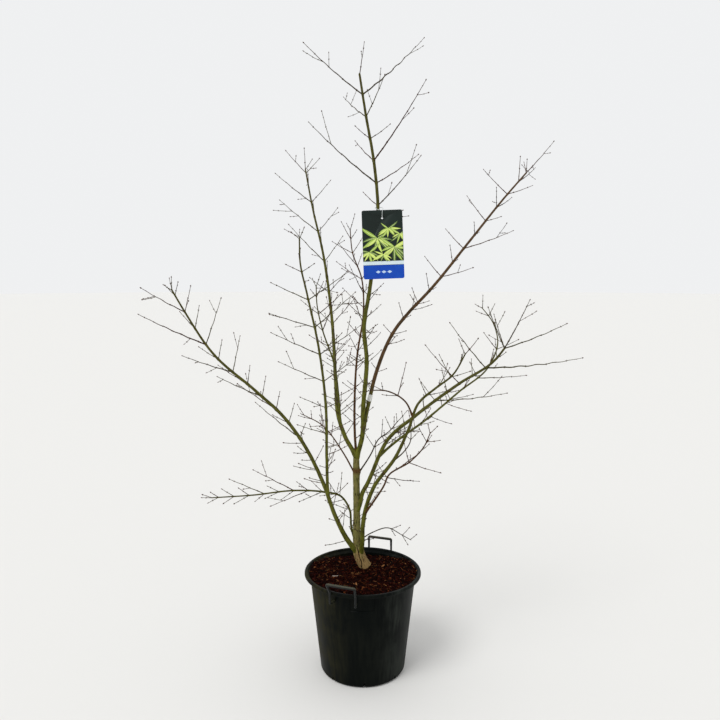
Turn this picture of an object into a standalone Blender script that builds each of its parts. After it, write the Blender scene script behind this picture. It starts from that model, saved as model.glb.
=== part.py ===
"""Young maple with a bare winter crown, growing in a black nursery pot.

Units are metres, +Z is up and the origin is the centre of the pot's flat underside.
The tree is seen from the -Y side, so +X is to the right. Each limb is a clean bough
that ends where its twigs begin, and a twig mass that carries the limb on to its tip.
"""
import math
import random

import bmesh
import bpy
import numpy as np
from mathutils import Matrix, Quaternion, Vector

# Gap that keeps touching pieces apart
SEAT = 0.0003

# Pot
POT_SIDES = 56
FOOT_RADIUS = 0.1605
FOOT_ROUNDING = 0.012
WALL_SLOPE = 0.1218
WALL_THICKNESS = 0.004
FLOOR_THICKNESS = 0.006
RIM_RADIUS = 0.2228
RIM_INNER_RADIUS = 0.2095
RIM_TOP = 0.3625
RIM_DEPTH = 0.010
RIM_THICKNESS = 0.0035
RIM_CROWN = 0.005
RIM_STEP_FOOT = 0.347
RIM_STEP_SLOPE = 0.574
INNER_STEP_FOOT = RIM_STEP_FOOT + WALL_THICKNESS * RIM_STEP_SLOPE
FLOOR_EDGE_INSET = 0.018
FLOOR_EDGE_RISE = 0.014
SLOT_COUNT = 8
SLOT_WIDTH = 0.006
SLOT_HEIGHT = 0.016
SLOT_TURN = math.radians(2.0)

# Grips of the pot, one raised and one leaning out
GRIP_TURN = math.radians(19.0)
GRIP_HALF_ANGLE = math.radians(12.2)
GRIP_FOOT_HEIGHT = 0.322
GRIP_LEAN_HEIGHT = 0.360
GRIP_LENGTH_ABOVE_LEAN = 0.044
GRIP_LEG_RADIUS = 0.0040
GRIP_BAR_RADIUS = 0.0050
GRIP_BEND = 0.006
GRIP_LEANS = {"pot_grip_back": 0.0, "pot_grip_front": math.radians(30.0)}

# Bark mulch on the root ball
MULCH_TOP = 0.3565
MULCH_FLAT_RADIUS = 0.090
MULCH_SHOULDER_RADIUS = 0.165
MULCH_LOOSE_FROM = 0.300
MULCH_EDGE_RISE = 0.002
MULCH_BACK_DIP = 0.018
MULCH_DIP_FROM = 0.090
MULCH_DIP_REACH = 0.100

# Plant tag on the leader
CARD_WIDTH = 0.157
CARD_HEIGHT = 0.265
CARD_THICKNESS = 0.0012
CARD_CORNER = 0.007
CARD_CENTRE = Vector((0.0780, 0.0050, 1.6120))
CARD_TILT = math.radians(-2.0)
CARD_KEEP_CLEAR = 0.007
HOLE_RADIUS = 0.0035
HOLE_BELOW_TOP = 0.0315
LOOP_RADIUS = 0.0010

# White tie round the brown bough
TIE_FROM = 0.106
TIE_TO = 0.133
TIE_THICKNESS = 0.0020

# How twigs grow: opposite pairs, each turned a right angle from the last
FORK_CLOSING = math.radians(8.0)
ANGLE_SCATTER = math.radians(6.0)
LENGTH_SCATTER = 0.06
TWIG_GIRTH = 0.0010
TWIG_GIRTH_PER_METRE = 0.0040
TWIG_TIP = 0.0007
SIDE_TWIG_CHANCE = 0.45
SIDE_TWIG_SHARE = 0.38
SIDE_TWIG_FORK = math.radians(42.0)
FAN_STEP = math.radians(137.5)
FAN_INNER = math.radians(24.0)
CLEARANCE = 0.0015
NODE_LEAD = 0.018
LONG_TWIG = 0.13
LOWEST_TWIG = RIM_TOP + 0.0575

# The trunk from its flat cut to the fork, as (height, x, y, radius)
TRUNK = (
    (MULCH_TOP + SEAT, 0.011, 0.038, 0.0240),
    (0.373, 0.002, 0.038, 0.0230),
    (0.393, -0.008, 0.039, 0.0225),
    (0.412, -0.0155, 0.040, 0.0220),
    (0.440, -0.0215, 0.041, 0.0155),
    (0.537, -0.023, 0.043, 0.0136),
    (0.642, -0.024, 0.045, 0.0132),
    (0.715, -0.025, 0.047, 0.0134),
    (0.801, -0.025, 0.047, 0.0116),
)

WALNUT = (0.095, 0.060, 0.022)
OLIVE = (0.105, 0.115, 0.022)
MOSS = (0.075, 0.090, 0.018)
RUSSET = (0.090, 0.040, 0.018)
TWIG_BROWN = (0.085, 0.062, 0.045)


class Limb:
    """One limb: the route of its stem, its girth and the lengths of its twigs.

    route runs from the axis of the first limb named in cut_by, and those limbs trim its foot.
    pairs holds the left and right twig of each node in centimetres, lowest node first, and
    fan the twigs at the very tip. Angles are in degrees: turn is the turn of the lowest pair
    out of the XZ plane and fork the opening of the pairs. lean is how far pairs face the light
    and curl how much each twig bends up to it.
    """

    def __init__(self, name, route, girth, pairs, fan, spacing, cut_by, top_gap=0.045, turn=0.0,
                 fork=56.0, lean=0.42, curl=0.16, bough=True, colour=OLIVE):
        self.name = name
        self.route = [Vector(point) for point in route]
        self.base, self.tip = girth
        self.pairs = pairs
        self.fan = fan
        self.spacing = spacing
        self.cut_by = cut_by
        self.top_gap = top_gap
        self.turn = math.radians(turn)
        self.fork = math.radians(fork)
        self.lean = lean
        self.curl = curl
        self.bough = bough
        self.colour = colour


LIMBS = (
    Limb("leader",
         ((-0.025, 0.047, 0.780), (-0.003, 0.040, 0.858), (0.002, 0.030, 0.981), (0.015, 0.025, 1.172),
          (0.005, 0.025, 1.281), (0.028, 0.025, 1.444), (0.059, 0.025, 1.749), (0.044, 0.030, 1.930),
          (0.011, 0.040, 2.126), (-0.013, 0.045, 2.284)),
         (0.0094, 0.0042),
         ((6, 8), (8, 8), (8, 12), (10, 9), (8, 11), (10, 10), (14, 22), (34, 14), (11, 30),
          (34, 23), (16, 40), (8, 11), (23, 21), (30, 43)),
         (12,), 0.088, ("trunk",), top_gap=0.086, turn=-60, fork=62, lean=0.70, curl=0.22),
    Limb("fork_left",
         ((-0.026, 0.047, 0.785), (-0.068, 0.062, 0.856), (-0.100, 0.095, 0.948), (-0.107, 0.120, 1.040),
          (-0.126, 0.195, 1.308), (-0.167, 0.255, 1.589), (-0.213, 0.295, 1.781), (-0.247, 0.325, 1.954)),
         (0.0085, 0.0028),
         ((5, 6), (10, 9), (8, 7), (10, 14), (8, 8), (10, 12), (8, 8), (21, 14), (12, 9), (20, 13),
          (9, 8), (19, 13), (9, 9), (12, 9)),
         (9, 8), 0.0665, ("trunk", "leader"), top_gap=0.021, turn=-80, fork=48, curl=0.12, colour=MOSS),
    Limb("red_stem",
         ((-0.026, 0.048, 0.785), (-0.031, 0.068, 0.868), (-0.032, 0.100, 0.996), (-0.023, 0.135, 1.159),
          (0.004, 0.185, 1.350), (-0.004, 0.235, 1.481), (-0.043, 0.275, 1.592), (-0.053, 0.295, 1.691)),
         (0.0052, 0.0020),
         ((6, 8), (9, 7), (8, 9), (12, 8), (14, 9), (15, 9), (15, 10), (14, 9), (11, 8), (9, 7)),
         (7, 6), 0.062, ("trunk", "leader", "fork_left"), turn=-30, fork=52, lean=0.30, curl=0.12,
         colour=RUSSET),
    Limb("brown_bough",
         ((0.000, 0.032, 0.895), (0.022, 0.050, 0.985), (0.053, 0.080, 1.106), (0.138, 0.125, 1.285),
          (0.180, 0.145, 1.334), (0.277, 0.185, 1.432), (0.450, 0.265, 1.634), (0.621, 0.335, 1.836),
          (0.722, 0.375, 1.946)),
         (0.0080, 0.0034),
         ((5, 6), (9, 5), (5, 5), (9, 5), (12, 14), (10, 5), (12, 22), (7, 6), (15, 7), (11, 20),
          (15, 11), (12, 24)),
         (18, 8, 7), 0.081, ("leader",), top_gap=0.062, turn=-30, fork=62, lean=0.45, colour=WALNUT),
    Limb("fork_left_side",
         ((-0.086, 0.080, 0.900), (-0.095, 0.055, 1.023), (-0.111, 0.005, 1.155), (-0.152, -0.025, 1.281),
          (-0.173, -0.045, 1.381), (-0.176, -0.055, 1.456)),
         (0.0042, 0.0018),
         ((4, 5), (6, 8), (9, 8), (8, 15), (9, 15), (6, 8)),
         (5, 5), 0.066, ("fork_left",), turn=-25, fork=60, colour=MOSS),
    Limb("left_bough",
         ((-0.016, 0.036, 0.395), (-0.061, 0.025, 0.469), (-0.106, 0.005, 0.566), (-0.148, -0.015, 0.691),
          (-0.241, -0.045, 0.882), (-0.300, -0.058, 0.963), (-0.396, -0.075, 1.057),
          (-0.552, -0.095, 1.199), (-0.658, -0.115, 1.363), (-0.700, -0.135, 1.444)),
         (0.0088, 0.0028),
         ((22, 7), (8, 8), (20, 8), (20, 8), (14, 9), (21, 15), (10, 9), (28, 21), (10, 10), (20, 10),
          (6, 6)),
         (5, 5, 4), 0.0715, ("trunk",), top_gap=0.028, turn=-40, fork=48, lean=0.40, curl=0.10,
         colour=MOSS),
    Limb("left_upright",
         ((-0.128, -0.010, 0.655), (-0.136, -0.055, 0.816), (-0.136, -0.105, 0.995),
          (-0.160, -0.175, 1.239), (-0.196, -0.235, 1.427), (-0.217, -0.275, 1.539),
          (-0.217, -0.305, 1.623)),
         (0.0062, 0.0024),
         ((12, 6), (9, 7), (10, 6), (9, 8), (17, 16), (9, 8), (20, 17), (9, 9), (17, 19), (9, 8),
          (15, 17), (8, 7), (6, 5), (5, 5)),
         (4, 4), 0.053, ("left_bough",), top_gap=0.073, turn=6, fork=64, lean=0.30, curl=0.05,
         colour=MOSS),
    Limb("low_left_arm",
         ((-0.018, 0.050, 0.415), (-0.045, 0.070, 0.501), (-0.051, 0.074, 0.565), (-0.088, 0.072, 0.622),
          (-0.148, 0.055, 0.642), (-0.257, 0.015, 0.661), (-0.417, -0.045, 0.662),
          (-0.563, -0.105, 0.671)),
         (0.0046, 0.0019),
         ((6, 7), (11, 6), (15, 7), (8, 19), (6, 6), (5, 15), (6, 6), (5, 5), (4, 4)),
         (4, 4), 0.058, ("trunk", "left_bough"), top_gap=0.030, turn=-30, fork=38, lean=0.05, curl=0.0),
    Limb("right_bough",
         ((-0.022, 0.044, 0.570), (-0.0085, 0.037, 0.610), (-0.003, 0.034, 0.640), (0.017, 0.028, 0.681),
          (0.041, 0.012, 0.741), (0.062, -0.004, 0.799), (0.091, -0.025, 0.861),
          (0.201, -0.065, 0.969), (0.352, -0.115, 1.093), (0.478, -0.155, 1.186), (0.512, -0.175, 1.235)),
         (0.0086, 0.0036),
         ((8, 9), (9, 26), (14, 9), (21, 37), (9, 9), (21, 36), (9, 9)),
         (22, 18, 17, 24, 16, 11), 0.0565, ("trunk",), top_gap=0.052, turn=-80, fork=70, lean=0.50,
         curl=0.18, colour=MOSS),
    Limb("right_second",
         ((0.060, -0.008, 0.800), (0.132, 0.015, 0.853), (0.232, 0.045, 0.917), (0.381, 0.085, 1.030),
          (0.509, 0.125, 1.128), (0.548, 0.145, 1.222), (0.531, 0.155, 1.299), (0.486, 0.165, 1.363)),
         (0.0050, 0.0018),
         ((5, 9), (7, 9), (7, 18), (9, 10), (8, 9), (6, 7), (5, 5)),
         (5, 4), 0.072, ("right_bough",), turn=-15, fork=55, lean=0.40, curl=0.12),
    Limb("low_right_stem",
         ((-0.010, 0.032, 0.395), (-0.002, 0.012, 0.458), (0.000, -0.002, 0.530), (0.010, -0.012, 0.594),
          (0.039, -0.045, 0.687), (0.121, -0.105, 0.822), (0.167, -0.155, 0.940), (0.200, -0.195, 1.040),
          (0.256, -0.225, 1.096), (0.312, -0.255, 1.147), (0.355, -0.275, 1.226)),
         (0.0092, 0.0022),
         ((6, 8), (6, 9), (8, 7), (6, 6)),
         (7, 6), 0.058, ("trunk",), turn=-12),
    Limb("low_right_inner",
         ((0.176, -0.170, 0.985), (0.150, -0.205, 1.045), (0.081, -0.235, 1.088), (0.026, -0.245, 1.092)),
         (0.0034, 0.0018),
         ((6, 12), (6, 5)),
         (4, 4), 0.060, ("low_right_stem",), turn=25, bough=False, colour=RUSSET),
    Limb("low_right_side",
         ((0.006, -0.010, 0.580), (0.050, -0.055, 0.655), (0.080, -0.095, 0.717), (0.091, -0.115, 0.752),
          (0.172, -0.175, 0.826), (0.216, -0.215, 0.888), (0.236, -0.245, 0.946)),
         (0.0042, 0.0017),
         ((6, 12), (8, 17), (7, 12), (6, 8), (5, 5)),
         (4, 3), 0.060, ("low_right_stem", "trunk"), turn=-20, fork=62, lean=0.10, bough=False,
         colour=RUSSET),
    Limb("low_right_curl",
         ((0.112, -0.098, 0.802), (0.150, -0.090, 0.835), (0.176, -0.080, 0.870), (0.180, -0.075, 0.925)),
         (0.0026, 0.0013),
         ((4, 4),),
         (4,), 0.050, ("low_right_stem",), turn=30, bough=False, colour=TWIG_BROWN),
    Limb("trunk_left_shoot",
         ((-0.026, 0.048, 0.708), (-0.081, 0.105, 0.789), (-0.169, 0.165, 0.884), (-0.247, 0.205, 0.916)),
         (0.0034, 0.0016),
         ((8, 6), (7, 7), (6, 8), (6, 5)),
         (5, 4), 0.056, ("trunk",), turn=-25, fork=50, lean=0.15, bough=False, colour=RUSSET),
    Limb("trunk_right_shoot",
         ((-0.024, 0.048, 0.708), (0.033, 0.085, 0.784), (0.062, 0.115, 0.833), (0.110, 0.155, 0.860),
          (0.145, 0.175, 0.896)),
         (0.0032, 0.0016),
         ((7, 6), (8, 8), (6, 5)),
         (6, 5), 0.056, ("trunk",), turn=-35, bough=False, colour=TWIG_BROWN),
    Limb("low_right_twig",
         ((-0.018, 0.044, 0.455), (0.040, 0.060, 0.483), (0.099, 0.085, 0.491), (0.155, 0.100, 0.458),
          (0.195, 0.110, 0.432)),
         (0.0024, 0.0012),
         ((4, 6), (5, 4)),
         (3, 3), 0.055, ("trunk", "low_right_stem"), turn=35, lean=0.10, bough=False,
         colour=TWIG_BROWN),
)


# Scene and materials
def clear_scene():
    for leftover in list(bpy.data.objects):
        bpy.data.objects.remove(leftover, do_unlink=True)


def finish(name, colour, roughness):
    material = bpy.data.materials.new(name)
    material.use_nodes = True
    shader = material.node_tree.nodes["Principled BSDF"]
    shader.inputs["Base Color"].default_value = (*colour, 1.0)
    shader.inputs["Roughness"].default_value = roughness
    shader.inputs["Metallic"].default_value = 0.0
    return material


def add_piece(name, bm, colour=None, roughness=0.6, smooth=True):
    """Turns a bmesh into a named object with its own material."""
    bmesh.ops.recalc_face_normals(bm, faces=bm.faces)
    mesh = bpy.data.meshes.new(name)
    bm.to_mesh(mesh)
    bm.free()
    if smooth:
        mesh.shade_smooth()
        mesh.set_sharp_from_angle(angle=math.radians(40.0))
    piece = bpy.data.objects.new(name, mesh)
    bpy.context.scene.collection.objects.link(piece)
    if colour is not None:
        mesh.materials.append(finish(name + "_finish", colour, roughness))
    return piece


def apply_modifiers(piece):
    graph = bpy.context.evaluated_depsgraph_get()
    solid = bpy.data.meshes.new_from_object(piece.evaluated_get(graph))
    piece.modifiers.clear()
    old = piece.data
    solid.name = old.name + "_solid"
    piece.data = solid
    bpy.data.meshes.remove(old)


def cut(piece, cutter):
    """Takes the cutter's shape out of the piece and deletes the cutter."""
    modifier = piece.modifiers.new("cut", "BOOLEAN")
    modifier.operation = "DIFFERENCE"
    modifier.object = cutter
    cutter.hide_render = True
    cutter.display_type = "WIRE"
    apply_modifiers(piece)
    bpy.data.objects.remove(cutter, do_unlink=True)


def fuse(piece, others):
    """Joins a stem and its twigs into one body with a single union."""
    group = bpy.data.collections.new(piece.name + "_parts")
    for other in others:
        group.objects.link(other)
    modifier = piece.modifiers.new("fuse", "BOOLEAN")
    modifier.operation = "UNION"
    modifier.operand_type = "COLLECTION"
    modifier.collection = group
    apply_modifiers(piece)
    for other in others:
        bpy.data.objects.remove(other, do_unlink=True)
    bpy.data.collections.remove(group)


# Turned and swept shapes
def turned(profile, sides, turn=0.0):
    """Revolves a closed (radius, height) profile about the Z axis."""
    bm = bmesh.new()
    rings = []
    for radius, height in profile:
        if radius == 0.0:
            rings.append([bm.verts.new((0.0, 0.0, height))])
            continue
        angles = [turn + 2.0 * math.pi * step / sides for step in range(sides)]
        rings.append([bm.verts.new((radius * math.cos(a), radius * math.sin(a), height)) for a in angles])
    closed = profile[0][0] != 0.0
    pairs = list(zip(rings, rings[1:] + rings[:1])) if closed else list(zip(rings, rings[1:]))
    for lower, upper in pairs:
        for step in range(sides):
            after = (step + 1) % sides
            corners = [lower[step % len(lower)], lower[after % len(lower)],
                       upper[after % len(upper)], upper[step % len(upper)]]
            bm.faces.new(list(dict.fromkeys(corners)))
    return bm


def arc(centre, radius, start, end, steps):
    """Points of an arc in the (radius, height) plane, angles in degrees."""
    points = []
    for step in range(steps + 1):
        angle = math.radians(start + (end - start) * step / steps)
        points.append((centre[0] + radius * math.cos(angle), centre[1] + radius * math.sin(angle)))
    return points


def swept(points, radii, sides, closed=False, headings=None):
    """A tube of round section along the points, turned without twist."""
    count = len(points)
    bm = bmesh.new()
    rings = []
    normal = None
    for index, point in enumerate(points):
        before = points[index - 1] if index or closed else point
        after = points[(index + 1) % count] if index < count - 1 or closed else point
        along = headings[index] if headings else (after - before).normalized()
        if normal is None:
            normal = Vector((1.0, 0.0, 0.0)) if abs(along.x) < 0.8 else Vector((0.0, 1.0, 0.0))
        normal = (normal - along * normal.dot(along)).normalized()
        across = along.cross(normal)
        ring = []
        for side in range(sides):
            angle = 2.0 * math.pi * side / sides
            offset = normal * math.cos(angle) + across * math.sin(angle)
            ring.append(bm.verts.new(point + offset * radii[index]))
        rings.append(ring)
    for index in range(count if closed else count - 1):
        lower = rings[index]
        upper = rings[(index + 1) % count]
        for side in range(sides):
            after = (side + 1) % sides
            bm.faces.new((lower[side], lower[after], upper[after], upper[side]))
    if not closed:
        bm.faces.new(rings[0][::-1])
        bm.faces.new(rings[-1])
    return bm


def rounded(points, radius, steps=3):
    """Replaces each inner corner of a path by a short bend."""
    path = [points[0]]
    for before, corner, after in zip(points, points[1:], points[2:]):
        start = corner + (before - corner).normalized() * radius
        end = corner + (after - corner).normalized() * radius
        for step in range(steps + 1):
            share = step / steps
            path.append(start.lerp(corner, share).lerp(corner.lerp(end, share), share))
    path.append(points[-1])
    return path


class Route:
    """A smooth curve through a limb's points, measured along its length."""

    STEPS = 16

    def __init__(self, points, closed=False):
        count = len(points)
        last = count if closed else count - 1
        slopes = []
        for index, point in enumerate(points):
            before = points[index - 1] if index or closed else None
            after = points[(index + 1) % count] if index < count - 1 or closed else None
            if before is None:
                slopes.append((after - point).normalized())
            elif after is None:
                slopes.append((point - before).normalized())
            else:
                near = (point - before).length
                far = (after - point).length
                slopes.append(((point - before) / near * far + (after - point) / far * near) / (near + far))
        self.points = [points[0].copy()]
        for index in range(last):
            start = points[index]
            end = points[(index + 1) % count]
            chord = (end - start).length
            for step in range(1, self.STEPS + 1):
                t = step / self.STEPS
                point = start * (2 * t**3 - 3 * t**2 + 1) + end * (3 * t**2 - 2 * t**3)
                point += slopes[index] * chord * (t**3 - 2 * t**2 + t)
                point += slopes[(index + 1) % count] * chord * (t**3 - t**2)
                self.points.append(point)
        self.marks = [0.0]
        for before, after in zip(self.points, self.points[1:]):
            self.marks.append(self.marks[-1] + (after - before).length)
        self.length = self.marks[-1]

    def at(self, distance):
        distance = min(max(distance, 0.0), self.length)
        for index in range(1, len(self.marks)):
            if self.marks[index] >= distance:
                span = self.marks[index] - self.marks[index - 1]
                share = (distance - self.marks[index - 1]) / span
                return self.points[index - 1].lerp(self.points[index], share)
        return self.points[-1].copy()

    def heading(self, distance):
        reach = 0.004
        return (self.at(distance + reach) - self.at(distance - reach)).normalized()

    def nearest(self, place):
        return min(self.points, key=lambda point: (point - place).length).copy()

    def stretch(self, start, end, step):
        """Evenly spaced distances from start to end."""
        count = max(1, round((end - start) / step))
        return [start + (end - start) * index / count for index in range(count + 1)]


# Pot, grips and mulch
def wall_radius(height):
    return FOOT_RADIUS + WALL_SLOPE * (height - FOOT_ROUNDING)


def inside_radius(height):
    """Radius of the pot's inside, which steps out under the rim."""
    if height < INNER_STEP_FOOT:
        return wall_radius(height) - WALL_THICKNESS
    foot = wall_radius(INNER_STEP_FOOT) - WALL_THICKNESS
    return min(foot + (height - INNER_STEP_FOOT) / RIM_STEP_SLOPE, RIM_INNER_RADIUS)


def pot_profile():
    """Outer wall from the underside up, over the rolled rim and down the inside."""
    skirt_foot = RIM_TOP - RIM_DEPTH
    wall_top = RIM_TOP - RIM_CROWN
    rim_shelf = RIM_TOP - RIM_THICKNESS
    floor_edge = FLOOR_THICKNESS + FLOOR_EDGE_RISE
    step_top = RIM_INNER_RADIUS + WALL_THICKNESS
    step_rise = (step_top - wall_radius(RIM_STEP_FOOT)) * RIM_STEP_SLOPE
    inner_foot = inside_radius(INNER_STEP_FOOT)
    inner_rise = (RIM_INNER_RADIUS - inner_foot) * RIM_STEP_SLOPE
    profile = [(0.0, 0.0)]
    profile += arc((FOOT_RADIUS - FOOT_ROUNDING, FOOT_ROUNDING), FOOT_ROUNDING, -90.0, 0.0, 4)
    profile += [(wall_radius(0.12), 0.12), (wall_radius(0.23), 0.23),
                (wall_radius(RIM_STEP_FOOT), RIM_STEP_FOOT), (step_top, RIM_STEP_FOOT + step_rise),
                (step_top, rim_shelf)]
    profile += arc((RIM_RADIUS - RIM_CROWN, wall_top), RIM_CROWN - RIM_THICKNESS, 90.0, 0.0, 2)
    profile += [(RIM_RADIUS - RIM_THICKNESS, skirt_foot), (RIM_RADIUS, skirt_foot)]
    profile += arc((RIM_RADIUS - RIM_CROWN, wall_top), RIM_CROWN, 0.0, 90.0, 3)
    profile += arc((RIM_INNER_RADIUS + RIM_CROWN, wall_top), RIM_CROWN, 90.0, 180.0, 3)
    profile += [(RIM_INNER_RADIUS, INNER_STEP_FOOT + inner_rise), (inner_foot, INNER_STEP_FOOT),
                (wall_radius(floor_edge) - WALL_THICKNESS, floor_edge),
                (FOOT_RADIUS - FLOOR_EDGE_INSET, FLOOR_THICKNESS), (0.0, FLOOR_THICKNESS)]
    return profile


def build_pot():
    pot = add_piece("pot", turned(pot_profile(), POT_SIDES), (0.012, 0.014, 0.014), 0.42)
    slots = bmesh.new()
    for index in range(SLOT_COUNT):
        angle = SLOT_TURN + 2.0 * math.pi * index / SLOT_COUNT
        place = Matrix.Rotation(angle, 4, "Z") @ Matrix.Translation((0.0, -FOOT_RADIUS, SLOT_HEIGHT * 0.5))
        size = Matrix.Diagonal((SLOT_WIDTH, 0.030, SLOT_HEIGHT * 1.2, 1.0))
        bmesh.ops.create_cube(slots, size=1.0, matrix=place @ size)
    cut(pot, add_piece("slot_cutter", slots, smooth=False))
    return pot


def build_mulch():
    """Mulch level with the rim in front and at the sides, and lower at the back."""
    gap = SEAT * 1.5
    floor = FLOOR_THICKNESS + SEAT
    bend = FLOOR_THICKNESS + FLOOR_EDGE_RISE
    edge = MULCH_TOP + MULCH_EDGE_RISE
    profile = [(0.0, floor), (FOOT_RADIUS - FLOOR_EDGE_INSET - gap, floor),
               (inside_radius(bend) - gap, bend + SEAT),
               (inside_radius(MULCH_LOOSE_FROM) - gap, MULCH_LOOSE_FROM),
               (inside_radius(INNER_STEP_FOOT) - gap * 4.0, INNER_STEP_FOOT + gap * 2.0),
               (RIM_INNER_RADIUS - gap, edge - gap), (RIM_INNER_RADIUS - gap, edge),
               (MULCH_SHOULDER_RADIUS, MULCH_TOP + gap * 2.0), (MULCH_FLAT_RADIUS, MULCH_TOP),
               (0.0, MULCH_TOP)]
    bm = turned(profile, POT_SIDES)
    for vert in bm.verts:
        if vert.co.z > MULCH_LOOSE_FROM + gap:
            share = min(1.0, max(0.0, (vert.co.y - MULCH_DIP_FROM) / MULCH_DIP_REACH))
            dip = MULCH_BACK_DIP * share * share * (3.0 - 2.0 * share)
            vert.co.z = min(vert.co.z, max(vert.co.z, MULCH_TOP) - dip)
            reach = wall_radius(min(vert.co.z, RIM_STEP_FOOT)) - WALL_THICKNESS - gap * 4.0
            if dip > 0.0 and vert.co.xy.length > reach:
                vert.co.xy *= reach / vert.co.xy.length
    return add_piece("mulch", bm, (0.055, 0.016, 0.010), 0.95)


def around_pot(angle, radius, height):
    """A point by its angle from the back of the pot, its radius and its height."""
    return Vector((radius * math.sin(angle), radius * math.cos(angle), height))


def build_grip(name, centre_angle, lean):
    leg_radius = RIM_RADIUS + SEAT + GRIP_LEG_RADIUS
    foot = wall_radius(GRIP_FOOT_HEIGHT + GRIP_LEG_RADIUS) + SEAT
    top_radius = leg_radius + GRIP_LENGTH_ABOVE_LEAN * math.sin(lean)
    top_height = GRIP_LEAN_HEIGHT + GRIP_LENGTH_ABOVE_LEAN * math.cos(lean)
    left = centre_angle - GRIP_HALF_ANGLE
    right = centre_angle + GRIP_HALF_ANGLE
    corners = [around_pot(left, foot, GRIP_FOOT_HEIGHT), around_pot(left, leg_radius, GRIP_FOOT_HEIGHT),
               around_pot(left, leg_radius, GRIP_LEAN_HEIGHT), around_pot(left, top_radius, top_height),
               around_pot(right, top_radius, top_height), around_pot(right, leg_radius, GRIP_LEAN_HEIGHT),
               around_pot(right, leg_radius, GRIP_FOOT_HEIGHT), around_pot(right, foot, GRIP_FOOT_HEIGHT)]
    path = rounded(corners, GRIP_BEND)
    bar_from = top_height - GRIP_BEND
    radii = [GRIP_BAR_RADIUS if point.z > bar_from else GRIP_LEG_RADIUS for point in path]
    return add_piece(name, swept(path, radii, 8), (0.016, 0.018, 0.016), 0.45)


# Trunk and boughs
def girth_at(limb, share):
    """Radius along a limb: a quick taper at the foot, then an even one."""
    return limb.tip + (limb.base - limb.tip) * max(0.0, 1.0 - share) ** 0.85


def trunk_solid(name, swell=0.0):
    points = [Vector((x, y, height)) for height, x, y, radius in TRUNK]
    route = Route(points)
    heights = [row[0] for row in TRUNK]
    girths = [row[3] for row in TRUNK]
    marks = route.stretch(0.0, route.length, 0.026)
    path = [route.at(mark) for mark in marks]
    radii = [float(np.interp(point.z, heights, girths)) + swell for point in path]
    path[0].z = TRUNK[0][0]
    bm = swept(path, radii, 10)
    if swell == 0.0:
        flat = [vert for vert in bm.verts if vert.co.z < TRUNK[0][0] + 0.012]
        for vert in flat:
            vert.co.z = TRUNK[0][0]
        return add_piece(name, bm, (0.150, 0.105, 0.050), 0.85)
    return add_piece(name, bm, smooth=False)


def stem_solid(name, limb, route, start, end, sides, swell=0.0):
    marks = route.stretch(start, end, 0.055)
    path = [route.at(mark) for mark in marks]
    radii = [girth_at(limb, mark / route.length) + swell for mark in marks]
    headings = [route.heading(mark) for mark in marks]
    colour = None if swell else limb.colour
    return add_piece(name, swept(path, radii, sides, headings=headings), colour, 0.7)


def twigs_begin(limb, route):
    """Distance along the stem at which the bough ends and its twigs begin."""
    if not limb.bough:
        return 0.0
    return route.length - limb.top_gap - limb.spacing * (len(limb.pairs) - 1) - NODE_LEAD


def cutter_for(name, routes):
    """A copy of the trunk or of a bough, larger by the gap between pieces."""
    if name == "trunk":
        return trunk_solid("cutter", SEAT)
    limb = next(limb for limb in LIMBS if limb.name == name)
    route = routes[name]
    return stem_solid("cutter", limb, route, 0.0, twigs_begin(limb, route), 8, SEAT)


# Twig masses
class Crowd:
    """Every limb and twig placed so far, as straight pieces with a radius."""

    def __init__(self):
        self.starts = []
        self.ends = []
        self.radii = []
        self.family = []

    def add(self, points, radii, family):
        for index in range(len(points) - 1):
            self.starts.append(tuple(points[index]))
            self.ends.append(tuple(points[index + 1]))
            self.radii.append(max(radii[index], radii[index + 1]))
            self.family.append(family)

    def is_free(self, points, radii, ignored):
        """True when a new twig keeps clear of all but its own family."""
        keep = ~np.isin(np.array(self.family), ignored)
        starts = np.array(self.starts)[keep]
        along = np.array(self.ends)[keep] - starts
        girths = np.array(self.radii)[keep]
        squares = (along * along).sum(axis=1)
        for index in range(len(points) - 1):
            start = np.array(points[index])
            step = np.array(points[index + 1]) - start
            away = start - starts
            step_square = float(step @ step)
            dots = along @ step
            offset = away @ step
            reach = (along * away).sum(axis=1)
            spread = step_square * squares - dots * dots
            first = np.clip((dots * reach - offset * squares) / np.maximum(spread, 1e-12), 0.0, 1.0)
            second = np.clip((dots * first + reach) / squares, 0.0, 1.0)
            first = np.clip((dots * second - offset) / step_square, 0.0, 1.0)
            gaps = np.linalg.norm(away + first[:, None] * step - second[:, None] * along, axis=1)
            if (gaps < girths + radii[index] + CLEARANCE).any():
                return False
        return True


def twig_path(root, direction, length, bends, curl):
    """A twig that curls a little towards the light, as points and radii."""
    final = (direction + Vector((0.0, 0.0, curl))).normalized()
    middle = root + direction * length * 0.5
    end = middle + final * length * 0.5
    girth = TWIG_GIRTH + TWIG_GIRTH_PER_METRE * length
    points = []
    radii = []
    for index in range(bends + 1):
        share = index / bends
        points.append(root.lerp(middle, share).lerp(middle.lerp(end, share), share))
        radii.append(girth + (TWIG_TIP - girth) * share)
    return points, radii


def pair_frame(heading, turn, lean):
    """The line a pair opens about, and the way its left twig leans from it."""
    up = Vector((0.0, 0.0, 1.0))
    axis = (heading * (1.0 - lean) + up * lean).normalized()
    left = axis.cross(Vector((0.0, 1.0, 0.0))).normalized()
    return axis, Quaternion(axis, turn) @ left


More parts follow.
